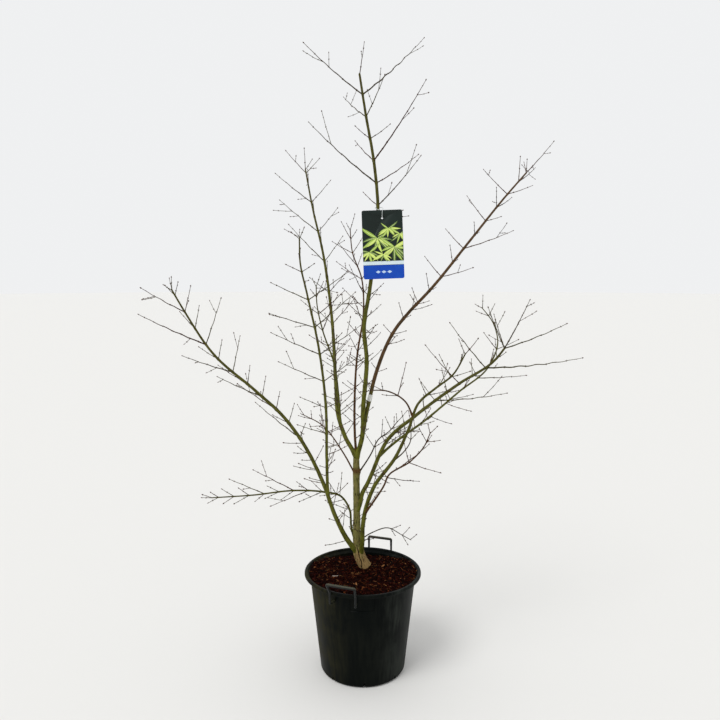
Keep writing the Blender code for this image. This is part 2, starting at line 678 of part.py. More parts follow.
def grow(limb, route, crowd, families, rng):
    """Twigs of one limb as (points, radii), skipping those that would touch."""
    stem_family = families[limb.name]
    twigs = []

    def place(root, direction, length, ignored):
        points, radii = twig_path(root, direction, length, 3 if length > LONG_TWIG else 2, limb.curl)
        low = min(point.z for point in points)
        if low < LOWEST_TWIG or not crowd.is_free(points, radii, ignored):
            return False
        family = len(families)
        families[limb.name + str(family)] = family
        crowd.add(points, radii, family)
        twigs.append((points, radii))
        if length > LONG_TWIG and rng.random() < SIDE_TWIG_CHANCE:
            forked = points[-2]
            ahead = (points[-1] - points[-2]).normalized()
            spin = Quaternion(ahead, rng.uniform(0.0, 2.0 * math.pi))
            away = spin @ ahead.orthogonal().normalized()
            lean = ahead * math.cos(SIDE_TWIG_FORK) + away * math.sin(SIDE_TWIG_FORK)
            side_points, side_radii = twig_path(forked, lean, length * SIDE_TWIG_SHARE, 2, limb.curl)
            side_radii[0] = min(side_radii[0], radii[-2] * 0.8)
            if crowd.is_free(side_points, side_radii, [family, stem_family]):
                crowd.add(side_points, side_radii, family)
                twigs.append((side_points, side_radii))
        return True

    first = route.length - limb.top_gap - limb.spacing * (len(limb.pairs) - 1)
    for index, lengths in enumerate(limb.pairs):
        distance = first + limb.spacing * index
        share = distance / route.length
        turn = limb.turn
        if index % 2:
            turn -= math.copysign(math.pi / 2.0, limb.turn)
        turn += rng.uniform(-ANGLE_SCATTER, ANGLE_SCATTER)
        axis, outward = pair_frame(route.heading(distance), turn, limb.lean)
        opening = limb.fork + FORK_CLOSING * (0.5 - share)
        root = route.at(distance)
        before = len(families)
        for side, length in zip((1.0, -1.0), lengths):
            fork = opening + rng.uniform(-ANGLE_SCATTER, ANGLE_SCATTER)
            direction = axis * math.cos(fork) + outward * side * math.sin(fork)
            real_length = 0.01 * length * (1.0 + rng.uniform(-LENGTH_SCATTER, LENGTH_SCATTER))
            place(root, direction, real_length, [stem_family] + list(range(before, len(families))))
    tip = route.at(route.length - 0.006)
    before = len(families)
    for index, length in enumerate(limb.fan):
        spin = limb.turn + math.pi + FAN_STEP * index
        axis, outward = pair_frame(route.heading(route.length), spin, limb.lean)
        fork = FAN_INNER + (limb.fork - FAN_INNER) * index / max(1, len(limb.fan) - 1)
        direction = axis * math.cos(fork) + outward * math.sin(fork)
        place(tip, direction, 0.01 * length, [stem_family] + list(range(before, len(families))))
    return twigs


def stem_line(limb, route, start):
    marks = route.stretch(start, route.length, 0.04)
    return [route.at(mark) for mark in marks], [girth_at(limb, mark / route.length) for mark in marks]


# Tag and tie
def build_card():
    """The plastic tag: a thin card with rounded corners and a punched hole."""
    bm = bmesh.new()
    half_width = CARD_WIDTH / 2.0
    half_height = CARD_HEIGHT / 2.0
    rim = []
    for corner, (sx, sz) in enumerate(((1, 1), (-1, 1), (-1, -1), (1, -1))):
        centre = (sx * (half_width - CARD_CORNER), sz * (half_height - CARD_CORNER))
        rim += arc(centre, CARD_CORNER, 90.0 * corner, 90.0 * corner + 90.0, 3)
    front = bm.faces.new([bm.verts.new((x, -CARD_THICKNESS / 2.0, z)) for x, z in rim])
    grown = bmesh.ops.extrude_face_region(bm, geom=[front])["geom"]
    back = [part for part in grown if isinstance(part, bmesh.types.BMVert)]
    bmesh.ops.translate(bm, verts=back, vec=(0.0, CARD_THICKNESS, 0.0))
    card = add_piece("tag_card", bm, (0.020, 0.110, 0.045), 0.25, smooth=False)
    punch = bmesh.new()
    place = Matrix.Translation((0.0, 0.0, half_height - HOLE_BELOW_TOP))
    bmesh.ops.create_cone(punch, cap_ends=True, segments=12, radius1=HOLE_RADIUS, radius2=HOLE_RADIUS,
                          depth=CARD_THICKNESS * 6.0, matrix=place @ Matrix.Rotation(math.pi / 2.0, 4, "X"))
    cut(card, add_piece("punch", punch, smooth=False))
    card.location = CARD_CENTRE
    card.rotation_euler = (0.0, CARD_TILT, 0.0)
    return card


def loop_route(leader_route, leader):
    """The tag's loop: through the hole, over the card's top edge and round the leader."""
    tilt = Matrix.Rotation(CARD_TILT, 4, "Y")
    hole = CARD_CENTRE + tilt @ Vector((0.0, 0.0, CARD_HEIGHT / 2.0 - HOLE_BELOW_TOP))
    rest = hole + Vector((0.0, 0.0, HOLE_RADIUS - LOOP_RADIUS - SEAT * 1.6))
    edge = hole.z + HOLE_BELOW_TOP
    height = edge + 0.012
    distance = min(leader_route.marks, key=lambda mark: abs(leader_route.at(mark).z - height))
    stem = leader_route.at(distance)
    radius = girth_at(leader, distance / leader_route.length) + LOOP_RADIUS + SEAT * 2.0
    return [
        rest,
        rest + Vector((0.0, -0.0030, 0.0)),
        rest + Vector((0.0, -0.0048, 0.007)),
        Vector((rest.x + 0.001, CARD_CENTRE.y - 0.0040, edge - 0.003)),
        Vector((rest.x + 0.003, CARD_CENTRE.y, edge + 0.006)),
        Vector((stem.x + radius + 0.004, stem.y, height)),
        Vector((stem.x, stem.y + radius, height)),
        Vector((stem.x - radius - 0.004, stem.y - 0.002, height - 0.002)),
        Vector((stem.x + 0.001, stem.y - radius - 0.003, height - 0.010)),
        rest + Vector((-0.002, 0.0052, 0.012)),
        rest + Vector((0.0, 0.0030, 0.0)),
    ]


def build_loop(points):
    route = Route(points, closed=True)
    marks = route.stretch(0.0, route.length, 0.003)[:-1]
    path = [route.at(mark) for mark in marks]
    bm = swept(path, [LOOP_RADIUS] * len(path), 6, closed=True)
    return add_piece("tag_loop", bm, (0.75, 0.78, 0.76), 0.3), path


def build_tie(limb, route):
    """A band of white tape wrapped round the bough."""
    bm = bmesh.new()
    sides = 12
    layers = []
    for wall in (SEAT * 1.5, SEAT * 1.5 + TIE_THICKNESS):
        for distance in (TIE_FROM, (TIE_FROM + TIE_TO) / 2.0, TIE_TO):
            along = route.heading(distance)
            normal = (Vector((0.0, 1.0, 0.0)) - along * along.y).normalized()
            across = along.cross(normal)
            radius = girth_at(limb, TIE_FROM / route.length) + wall
            centre = route.at(distance)
            layer = []
            for side in range(sides):
                angle = 2.0 * math.pi * side / sides
                outward = normal * math.cos(angle) + across * math.sin(angle)
                layer.append(bm.verts.new(centre + outward * radius))
            layers.append(layer)
    order = layers[:3] + layers[:2:-1]
    for lower, upper in zip(order, order[1:] + order[:1]):
        for side in range(sides):
            after = (side + 1) % sides
            bm.faces.new((lower[side], lower[after], upper[after], upper[side]))
    return add_piece("white_tie", bm, (0.80, 0.80, 0.78), 0.5)


def card_lines():
    """Upright lines across the card, so that no twig grows through it."""
    lines = []
    columns = 13
    foot = CARD_CENTRE.z - CARD_HEIGHT / 2.0
    for column in range(columns):
        x = CARD_CENTRE.x + CARD_WIDTH * (column / (columns - 1) - 0.5)
        lines.append([Vector((x, CARD_CENTRE.y, foot)), Vector((x, CARD_CENTRE.y, foot + CARD_HEIGHT))])
    return lines


def limb_routes():
    """The route of each limb, springing from the axis of the one that bears it."""
    routes = {"trunk": Route([Vector((x, y, height)) for height, x, y, radius in TRUNK])}
    for limb in LIMBS:
        points = list(limb.route)
        if limb.cut_by:
            points[0] = routes[limb.cut_by[0]].nearest(points[0])
        routes[limb.name] = Route(points)
    return routes


def build_tree(plant):
    routes = limb_routes()
    leader = LIMBS[0]
    loop, loop_path = build_loop(loop_route(routes["leader"], leader))
    brown = next(limb for limb in LIMBS if limb.name == "brown_bough")
    pieces = [trunk_solid("trunk"), build_card(), loop, build_tie(brown, routes["brown_bough"])]

    crowd = Crowd()
    families = {}
    crowd.add([Vector((x, y, height)) for height, x, y, radius in TRUNK], [row[3] for row in TRUNK], 0)
    families["trunk"] = 0
    for limb in LIMBS:
        families[limb.name] = len(families)
        crowd.add(*stem_line(limb, routes[limb.name], 0.0), families[limb.name])
    obstacle = families["obstacle"] = len(families)
    for line in card_lines():
        crowd.add(line, [CARD_KEEP_CLEAR] * 2, obstacle)
    crowd.add(loop_path, [LOOP_RADIUS] * len(loop_path), obstacle)

    for number, limb in enumerate(LIMBS):
        route = routes[limb.name]
        begin = twigs_begin(limb, route)
        if limb.bough:
            bough = stem_solid(limb.name, limb, route, 0.0, begin, 8)
            for other in limb.cut_by:
                cut(bough, cutter_for(other, routes))
            pieces.append(bough)
        stem_name = limb.name + "_twigs"
        stem = stem_solid(stem_name, limb, route, begin + (SEAT if limb.bough else 0.0), route.length, 6)
        if not limb.bough:
            for other in limb.cut_by:
                cut(stem, cutter_for(other, routes))
        rng = random.Random(100 + number)
        twigs = grow(limb, route, crowd, families, rng)
        parts = [add_piece("twig", swept(points, radii, 3), smooth=False) for points, radii in twigs]
        fuse(stem, parts)
        pieces.append(stem)
    for piece in pieces:
        piece.parent = plant


def build():
    clear_scene()
    plant = bpy.data.objects.new("potted_maple", None)
    bpy.context.scene.collection.objects.link(plant)
    for piece in (build_pot(), build_mulch()):
        piece.parent = plant
    for name, lean in GRIP_LEANS.items():
        centre = GRIP_TURN if name.endswith("back") else GRIP_TURN + math.pi
        build_grip(name, centre, lean).parent = plant
    build_tree(plant)


build()
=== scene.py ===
"""Young maple in a black nursery pot in winter: how its surfaces, chips, bark and twigs look.

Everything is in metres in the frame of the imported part: +Z up, origin at the centre of the
pot's flat underside, the tree seen from the -Y side.
"""
import math
import random

import bmesh
import bpy
import numpy as np
from mathutils import Matrix, Quaternion, Vector, noise


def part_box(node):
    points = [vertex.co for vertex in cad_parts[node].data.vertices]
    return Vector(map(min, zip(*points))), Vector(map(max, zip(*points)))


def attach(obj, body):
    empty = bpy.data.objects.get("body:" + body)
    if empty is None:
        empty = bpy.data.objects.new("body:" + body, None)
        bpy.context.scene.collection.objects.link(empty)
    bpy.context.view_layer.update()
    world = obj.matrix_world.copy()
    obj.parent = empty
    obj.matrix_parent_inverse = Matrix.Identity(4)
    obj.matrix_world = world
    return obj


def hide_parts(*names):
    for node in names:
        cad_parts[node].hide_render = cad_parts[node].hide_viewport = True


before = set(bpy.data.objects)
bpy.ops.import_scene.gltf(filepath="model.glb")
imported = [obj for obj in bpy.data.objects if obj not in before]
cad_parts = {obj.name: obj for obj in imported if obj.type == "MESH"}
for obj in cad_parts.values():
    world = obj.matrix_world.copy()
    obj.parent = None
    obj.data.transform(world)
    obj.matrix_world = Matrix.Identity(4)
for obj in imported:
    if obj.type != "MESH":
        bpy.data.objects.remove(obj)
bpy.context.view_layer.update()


# Nursery pot. A tapered tub injection moulded in recycled black polypropylene, about 4 mm thick.
# The wall steps out under a rolled rim that stiffens the mouth, and drain slots are cored
# round the foot. Outdoors the satin wall gathers dust and dried soil that runs down in streaks.
POT_SIDES = 192
FOOT_RADIUS = 0.1605
FOOT_ROUNDING = 0.012
WALL_SLOPE = 0.1218
WALL_THICKNESS = 0.004
FLOOR_THICKNESS = 0.006
FLOOR_RADIUS = FOOT_RADIUS - 0.018
FLOOR_COVE = 0.014
SOFT_EDGE = 0.0006
RIM_RADIUS = 0.2228
RIM_INNER_RADIUS = 0.2095
RIM_TOP = 0.3625
RIM_DEPTH = 0.010
RIM_THICKNESS = 0.0035
RIM_CROWN = 0.005
RIM_STEP_FOOT = 0.347
RIM_STEP_SLOPE = 0.574
INNER_STEP_FOOT = RIM_STEP_FOOT + WALL_THICKNESS * RIM_STEP_SLOPE
GROOVE_INNER = FOOT_RADIUS - 0.040
GROOVE_OUTER = FOOT_RADIUS - 0.017
GROOVE_SLOPE = 0.003
GROOVE_DEPTH = 0.0015
SLOT_SIZE = (0.006, 0.030, 0.019)
SLOT_HEIGHT = 0.008
SLOT_TURN = math.radians(2.0)
SLOT_COUNT = 8
HOLE_SIZE = (0.008, 0.030, 0.005)
HOLE_HEIGHT = 0.3375
HOLE_ASIDE = 0.154
POCKET_LOW = 0.295
POCKET_HIGH = 0.3405
POCKET_DEPTH = 0.0012
POCKET_FROM = -0.232
POCKET_TO = 0.212


def linear(colour):
    """Linear light of an sRGB hex colour, with full alpha."""
    channels = [int(colour[place:place + 2], 16) / 255.0 for place in (1, 3, 5)]
    return [c / 12.92 if c <= 0.04045 else ((c + 0.055) / 1.055) ** 2.4 for c in channels] + [1.0]


def feed(node, feeds):
    """Feeds a node's sockets with values, hex colours, other nodes' sockets or whole nodes."""
    for name, source in feeds.items():
        if isinstance(source, bpy.types.Node):
            source = next(output for output in source.outputs if output.enabled)
        if isinstance(source, bpy.types.NodeSocket):
            node.id_data.links.new(source, node.inputs[name])
        else:
            node.inputs[name].default_value = linear(source) if isinstance(source, str) else source


def add_node(material, kind, feeds=None, **settings):
    """Adds one shader node with its settings and links. A Mix node's colours are inputs 6 and 7."""
    node = material.node_tree.nodes.new("ShaderNode" + kind)
    for name, value in settings.items():
        setattr(node, name, value)
    feed(node, feeds or {})
    return node


def new_finish(name, colour, roughness, ior=1.5, **sockets):
    """A material of one plain colour, to be worked up with nodes."""
    material = bpy.data.materials.new(name)
    material.use_nodes = True
    shader = material.node_tree.nodes["Principled BSDF"]
    feed(shader, {"Base Color": colour, "Roughness": roughness, "IOR": ior})
    feed(shader, {name.replace("_", " "): value for name, value in sockets.items()})
    return material, shader


# Polypropylene, moulded: nearly black with a soft satin sheen. Dust is a thin grey-green film
# in streaks about 12 mm wide. The same film is also painted highlight: thick on the left and
# right sides and thin in the middle, browner on the left and greyer on the right.
def black_polypropylene(name, streaks):
    material, shader = new_finish(name, "#070b0a", 0.46, ior=1.49, Specular_IOR_Level=0.04)
    place = add_node(material, "TexCoord").outputs["Object"]
    stretched = add_node(material, "Mapping", {"Vector": place, "Scale": (80.0, 80.0, 5.0)})
    runs = add_node(material, "TexNoise", {"Vector": stretched, "Scale": 1.0, "Detail": 5.0,
                                           "Roughness": 0.62})
    specks = add_node(material, "TexNoise", {"Vector": place, "Scale": 420.0, "Detail": 3.0})
    clouds = add_node(material, "TexNoise", {"Vector": place, "Scale": 9.0, "Detail": 3.0})
    axes = add_node(material, "SeparateXYZ", {"Vector": place})
    aside = add_node(material, "Math", {0: axes.outputs["X"]}, operation="ABSOLUTE")
    # Painted highlight: the film grows from the middle of the pot out to its left and right sides.
    sides = add_node(material, "MapRange", {"Value": aside, "From Min": 0.045, "From Max": 0.19,
                                            "To Min": 0.10, "To Max": 1.0})
    patchy = add_node(material, "Math", {0: runs, 1: clouds}, operation="MULTIPLY")
    film = add_node(material, "MapRange", {"Value": patchy, "From Min": 0.16, "From Max": 0.36})
    dust_and_highlight = add_node(material, "Math", {0: film, 1: sides}, operation="MULTIPLY")
    dust_and_highlight_amount = add_node(material, "Math", {0: dust_and_highlight, 1: streaks}, operation="MULTIPLY")
    # Painted highlight colour: browner on the left side, greyer on the right.
    side_highlight_tint = add_node(material, "MapRange", {"Value": axes.outputs["X"], "From Min": -0.10, "From Max": 0.10})
    dust_and_highlight_colour = add_node(material, "Mix", {0: side_highlight_tint, 6: "#33311d", 7: "#363a35"}, data_type="RGBA")
    body = add_node(material, "Mix", {0: specks, 6: "#030504", 7: "#090d0c"}, data_type="RGBA")
    colour = add_node(material, "Mix", {0: dust_and_highlight_amount, 6: body, 7: dust_and_highlight_colour}, data_type="RGBA")
    rough = add_node(material, "MapRange", {"Value": dust_and_highlight_amount, "To Min": 0.36, "To Max": 0.72})
    bump = add_node(material, "Bump", {"Height": specks, "Distance": 0.00012, "Strength": 0.5})
    feed(shader, {"Base Color": colour, "Roughness": rough, "Normal": bump})
    return material


def wall_radius(height):
    return FOOT_RADIUS + WALL_SLOPE * (height - FOOT_ROUNDING)


def inside_radius(height):
    """Radius of the pot's inside, which steps out under the rim."""
    if height < INNER_STEP_FOOT:
        return wall_radius(height) - WALL_THICKNESS
    foot = wall_radius(INNER_STEP_FOOT) - WALL_THICKNESS
    return min(foot + (height - INNER_STEP_FOOT) / RIM_STEP_SLOPE, RIM_INNER_RADIUS)


def arc(centre, radius, start, end, steps):
    """Points of an arc in the (radius, height) plane, angles in degrees."""
    angles = [math.radians(start + (end - start) * step / steps) for step in range(steps + 1)]
    return [(centre[0] + radius * math.cos(a), centre[1] + radius * math.sin(a)) for a in angles]


def turned(profile, sides):
    """Revolves a closed (radius, height) profile about the Z axis."""
    bm = bmesh.new()
    rings = []
    for radius, height in profile:
        if radius == 0.0:
            rings.append([bm.verts.new((0.0, 0.0, height))])
            continue
        angles = [2.0 * math.pi * step / sides for step in range(sides)]
        rings.append([bm.verts.new((radius * math.cos(a), radius * math.sin(a), height)) for a in angles])
    for lower, upper in zip(rings, rings[1:] + rings[:1]):
        for step in range(sides):
            after = (step + 1) % sides
            corners = [lower[step % len(lower)], lower[after % len(lower)],
                       upper[after % len(upper)], upper[step % len(upper)]]
            corners = list(dict.fromkeys(corners))
            if len(corners) > 2:
                bm.faces.new(corners)
    return bm


def add_piece(name, bm, materials, crease=35.0):
    """Turns a bmesh into a named piece with its materials."""
    bmesh.ops.recalc_face_normals(bm, faces=bm.faces)
    mesh = bpy.data.meshes.new(name)
    bm.to_mesh(mesh)
    bm.free()
    mesh.shade_smooth()
    mesh.set_sharp_from_angle(angle=math.radians(crease))
    for material in materials:
        mesh.materials.append(material)
    piece = bpy.data.objects.new(name, mesh)
    bpy.context.scene.collection.objects.link(piece)
    return piece


def cut_out(piece, bm):
    """Takes every solid in a bmesh out of a piece with one Boolean."""
    cutter = add_piece("cutter", bm, [])
    modifier = piece.modifiers.new("cut", "BOOLEAN")
    modifier.operation = "DIFFERENCE"
    modifier.object = cutter
    solid = bpy.data.meshes.new_from_object(piece.evaluated_get(bpy.context.evaluated_depsgraph_get()))
    piece.modifiers.clear()
    piece.data = solid
    bpy.data.objects.remove(cutter, do_unlink=True)


wall_top = RIM_TOP - RIM_CROWN
shelf = RIM_TOP - RIM_THICKNESS
floor_edge = FLOOR_THICKNESS + FLOOR_COVE
skirt_foot = RIM_TOP - RIM_DEPTH
step_top = RIM_INNER_RADIUS + WALL_THICKNESS
step_rise = (step_top - wall_radius(RIM_STEP_FOOT)) * RIM_STEP_SLOPE
inner_foot = inside_radius(INNER_STEP_FOOT)
inner_rise = (RIM_INNER_RADIUS - inner_foot) * RIM_STEP_SLOPE
pot_profile = [(0.0, 0.0), (GROOVE_INNER, 0.0), (GROOVE_INNER + GROOVE_SLOPE, GROOVE_DEPTH),
               (GROOVE_OUTER - GROOVE_SLOPE, GROOVE_DEPTH), (GROOVE_OUTER, 0.0)]
pot_profile += arc((FOOT_RADIUS - FOOT_ROUNDING, FOOT_ROUNDING), FOOT_ROUNDING, -90.0, 0.0, 10)
pot_profile += [(wall_radius(h), h) for h in np.linspace(0.03, RIM_STEP_FOOT - SOFT_EDGE, 26)]
pot_profile += [(wall_radius(RIM_STEP_FOOT) + SOFT_EDGE, RIM_STEP_FOOT + 0.0002),
                (step_top - 0.0010, RIM_STEP_FOOT + step_rise - SOFT_EDGE),
                (step_top, RIM_STEP_FOOT + step_rise), (step_top, shelf)]
crown = (RIM_RADIUS - RIM_CROWN, wall_top)
skirt = RIM_RADIUS - RIM_THICKNESS
pot_profile += arc(crown, RIM_CROWN - RIM_THICKNESS, 90.0, 0.0, 6)
pot_profile += [(skirt, skirt_foot + 0.001), (skirt + 0.001, skirt_foot),
                (RIM_RADIUS - SOFT_EDGE, skirt_foot), (RIM_RADIUS, skirt_foot + 0.0008)]
pot_profile += arc(crown, RIM_CROWN, 0.0, 90.0, 10)
pot_profile += arc((RIM_INNER_RADIUS + RIM_CROWN, wall_top), RIM_CROWN, 90.0, 180.0, 10)
pot_profile += [(RIM_INNER_RADIUS, INNER_STEP_FOOT + inner_rise), (inner_foot, INNER_STEP_FOOT),
                (wall_radius(floor_edge) - WALL_THICKNESS, floor_edge),
                (FLOOR_RADIUS, FLOOR_THICKNESS), (0.0, FLOOR_THICKNESS)]
pot_finish = black_polypropylene("black_polypropylene", 0.85)
pot = add_piece("nursery_pot", turned(pot_profile, POT_SIDES), [pot_finish])

# Cored openings: drain slots at the foot, one small hole under the rim, and a shallow label
# pocket 88 mm wide that follows the wall round.
openings = bmesh.new()
for index in range(SLOT_COUNT):
    turn = Matrix.Rotation(SLOT_TURN + 2.0 * math.pi * index / SLOT_COUNT, 4, "Z")
    place = turn @ Matrix.Translation((0.0, -FOOT_RADIUS, SLOT_HEIGHT))
    bmesh.ops.create_cube(openings, size=1.0, matrix=place @ Matrix.Diagonal((*SLOT_SIZE, 1.0)))
turn = Matrix.Rotation(math.asin(HOLE_ASIDE / wall_radius(HOLE_HEIGHT)), 4, "Z")
place = turn @ Matrix.Translation((0.0, -wall_radius(HOLE_HEIGHT), HOLE_HEIGHT))
bmesh.ops.create_cube(openings, size=1.0, matrix=place @ Matrix.Diagonal((*HOLE_SIZE, 1.0)))
rings = []
for angle in np.linspace(POCKET_FROM, POCKET_TO, 31):
    ring = []
    for height, out in ((POCKET_LOW, -POCKET_DEPTH), (POCKET_LOW, WALL_THICKNESS),
                        (POCKET_HIGH, WALL_THICKNESS), (POCKET_HIGH, -POCKET_DEPTH)):
        radius = wall_radius(height) + out
        ring.append(openings.verts.new((radius * math.sin(angle), -radius * math.cos(angle), height)))
    rings.append(ring)
for near, far in zip(rings, rings[1:]):
    for corner in range(4):
        after = (corner + 1) % 4
        openings.faces.new((near[corner], near[after], far[after], far[corner]))
openings.faces.new(rings[0])
openings.faces.new(rings[-1])
cut_out(pot, openings)
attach(pot, "root")
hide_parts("pot")


# Carrying grips. Two bails of the same polypropylene, moulded as round legs and a thicker bar
# and snapped on under the rim. The back one stands up and the front one leans outward. The top
# of both bars is painted lighter olive-grey: a painted highlight, with grainy dust.
GRIP_TURN = math.radians(19.0)
GRIP_HALF_ANGLE = math.radians(12.2)
GRIP_FOOT_HEIGHT = 0.322
GRIP_LEAN_HEIGHT = 0.360
GRIP_LENGTH_ABOVE_LEAN = 0.044
GRIP_LEG_RADIUS = 0.0040
GRIP_BAR_RADIUS = 0.0050
GRIP_BEND = 0.006
SEAT = 0.0003


# Weathered polypropylene: the same black plastic, painted lighter on every face that looks up as a painted
# highlight, with grainy dust.
def dust_and_highlight_polypropylene():
    material, shader = new_finish("dust_and_highlight_polypropylene", "#0a0d0c", 0.5, ior=1.49, Specular_IOR_Level=0.25)
    place = add_node(material, "TexCoord").outputs["Object"]
    grains = add_node(material, "TexNoise", {"Vector": place, "Scale": 260.0, "Detail": 4.0})
    facing = add_node(material, "NewGeometry").outputs["Normal"]
    up = add_node(material, "SeparateXYZ", {"Vector": facing}).outputs["Z"]
    # Painted highlight: faces that look up are painted lighter, grainy like dust.
    lying = add_node(material, "MapRange", {"Value": up, "From Min": -0.1, "From Max": 0.8})
    dust_and_highlight_amount = add_node(material, "Math", {0: lying, 1: grains}, operation="MULTIPLY")
    film = add_node(material, "MapRange", {"Value": dust_and_highlight_amount, "From Min": 0.05, "From Max": 0.5})
    colour = add_node(material, "Mix", {0: film, 6: "#070a09", 7: "#3a3a2c"}, data_type="RGBA")
    bump = add_node(material, "Bump", {"Height": grains, "Distance": 0.0002, "Strength": 0.6})
    feed(shader, {"Base Color": colour, "Normal": bump})
    return material


def square_to(along, normal):
    """Two directions square to a heading, the first as near as can be to the one given."""
    normal = (normal - along * normal.dot(along)).normalized()
    return normal, along.cross(normal)


def spoke(normal, across, angle):
    """The direction at an angle round a stem."""
    return normal * math.cos(angle) + across * math.sin(angle)


def tube(points, radii, sides, closed=False):
    """A round tube along a path, turned without twist."""
    bm = bmesh.new()
    count = len(points)
    rings = []
    normal = None
    for index, point in enumerate(points):
        before = points[index - 1] if index or closed else point
        after = points[(index + 1) % count] if index < count - 1 or closed else point
        along = (after - before).normalized()
        if normal is None:
            normal = along.orthogonal().normalized()
        normal, across = square_to(along, normal)
        angles = [2.0 * math.pi * side / sides for side in range(sides)]
        rings.append([bm.verts.new(point + spoke(normal, across, a) * radii[index]) for a in angles])
    for lower, upper in zip(rings, rings[1:] + rings[:1] if closed else rings[1:]):
        for side in range(sides):
            after = (side + 1) % sides
            bm.faces.new((lower[side], lower[after], upper[after], upper[side]))
    if not closed:
        bm.faces.new(rings[0][::-1])
        bm.faces.new(rings[-1])
    return bm


def rounded(points, radius, steps):
    """Replaces each inner corner of a path by a short bend."""
    path = [points[0]]
    for before, corner, after in zip(points, points[1:], points[2:]):
        start = corner + (before - corner).normalized() * radius
        end = corner + (after - corner).normalized() * radius
        for step in range(steps + 1):
            share = step / steps
            path.append(start.lerp(corner, share).lerp(corner.lerp(end, share), share))
    path.append(points[-1])
    return path


def around_pot(angle, radius, height):
    return Vector((radius * math.sin(angle), radius * math.cos(angle), height))


grip_finish = dust_and_highlight_polypropylene()
for node, centre, lean in (("pot_grip_back", GRIP_TURN, 0.0),
                           ("pot_grip_front", GRIP_TURN + math.pi, math.radians(30.0))):
    leg = RIM_RADIUS + SEAT + GRIP_LEG_RADIUS
    foot = wall_radius(GRIP_FOOT_HEIGHT + GRIP_LEG_RADIUS) + SEAT
    top = leg + GRIP_LENGTH_ABOVE_LEAN * math.sin(lean)
    top_height = GRIP_LEAN_HEIGHT + GRIP_LENGTH_ABOVE_LEAN * math.cos(lean)
    half = [(foot, GRIP_FOOT_HEIGHT), (leg, GRIP_FOOT_HEIGHT), (leg, GRIP_LEAN_HEIGHT),
            (top, top_height)]
    corners = [around_pot(centre - GRIP_HALF_ANGLE, r, h) for r, h in half]
    corners += [around_pot(centre + GRIP_HALF_ANGLE, r, h) for r, h in reversed(half)]
    path = rounded(corners, GRIP_BEND, 8)
    radii = []
    for point in path:
        share = min(1.0, max(0.0, (point.z - top_height + GRIP_BEND * 1.6) / GRIP_BEND))
        radii.append(GRIP_LEG_RADIUS + (GRIP_BAR_RADIUS - GRIP_LEG_RADIUS) * share)
    grip = add_piece(node.replace("pot_grip", "bail"), tube(path, radii, 24), [grip_finish])
    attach(grip, "root")
    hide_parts(node)


# Bark mulch on the root ball. Composted conifer bark, shredded and tipped on by hand: dark
# red-brown flakes 5 to 18 mm long, torn orange fibres between them and one pale wood splinter.
# Under them lies dark potting soil that shows only in the gaps.
MULCH_TOP = 0.3565
MULCH_SHOULDER_RADIUS = 0.165
MULCH_EDGE_RISE = 0.002
MULCH_BACK_DIP = 0.018
MULCH_DIP_FROM = 0.090
MULCH_DIP_REACH = 0.100
SOIL_SIDES = 180
SOIL_RINGS = 46
SOIL_EDGE_AT = 0.205
SOIL_EDGE_BELOW = 0.0045
SOIL_BELOW = 0.0028
SOIL_WALL_GAP = 0.0010
SOIL_STEP = 0.325
SOIL_FOOT = (0.150, 0.010)
SOIL_LUMP = 0.0014
SOIL_LUMPS_PER_METRE = 90.0
CHIP_SHADES = (("#100302", 36), ("#190503", 28), ("#240805", 18), ("#3c1208", 7), ("#130b08", 8),
               ("#6d3a1d", 2), ("#8c5f3a", 1))
CHIP_COUNT = 6400
FIBRE_COUNT = 2100
# Limits are the greatest thickness, the spread of tilts in radians and the height above the mulch.
# A flake's width is a share of its length, and a fibre's shades are places in CHIP_SHADES.
FLAKE_SHORTEST = 0.005
FLAKE_SPREAD = 0.013
FLAKE_WIDTHS = (0.22, 0.6)
FLAKE_LIMITS = (0.0022, 0.34, 0.0026)
FLAKE_WEIGHTS = [weight for shade, weight in CHIP_SHADES]
FIBRE_LENGTHS = (0.008, 0.022)
FIBRE_WIDTHS = (0.0006, 0.0013)
FIBRE_LIMITS = (0.0009, 0.20, 0.0036)
FIBRE_SHADES = (3, 5, 6, 2)
FIBRE_WEIGHTS = (6, 2, 1, 6)
THINNEST = 0.0005
DEEPEST = -0.0035
CHIPS_REACH = 0.2080
CHIP_WALL_GAP = 0.0003
TRUNK_FOOT_AT = (0.011, 0.038)
TRUNK_FOOT_REACH = 0.021
SPLINTER_SIZE = (0.026, 0.0035, 0.0012)
SPLINTER_PLACE = (-0.103, -0.051, 0.3590)


# Potting soil: moist, almost black, crumbs of 2 to 4 mm.
def potting_soil():
    material, shader = new_finish("potting_soil", "#100504", 0.95, Specular_IOR_Level=0.03)
    place = add_node(material, "TexCoord").outputs["Object"]
    crumbs = add_node(material, "TexVoronoi", {"Vector": place, "Scale": 320.0})
    shade = add_node(material, "TexNoise", {"Vector": place, "Scale": 70.0, "Detail": 4.0})
    colour = add_node(material, "Mix", {0: shade, 6: "#070202", 7: "#1c0906"}, data_type="RGBA")
    bump = add_node(material, "Bump", {"Height": crumbs, "Distance": 0.002, "Strength": 1.0})
    feed(shader, {"Base Color": colour, "Normal": bump})
    return material


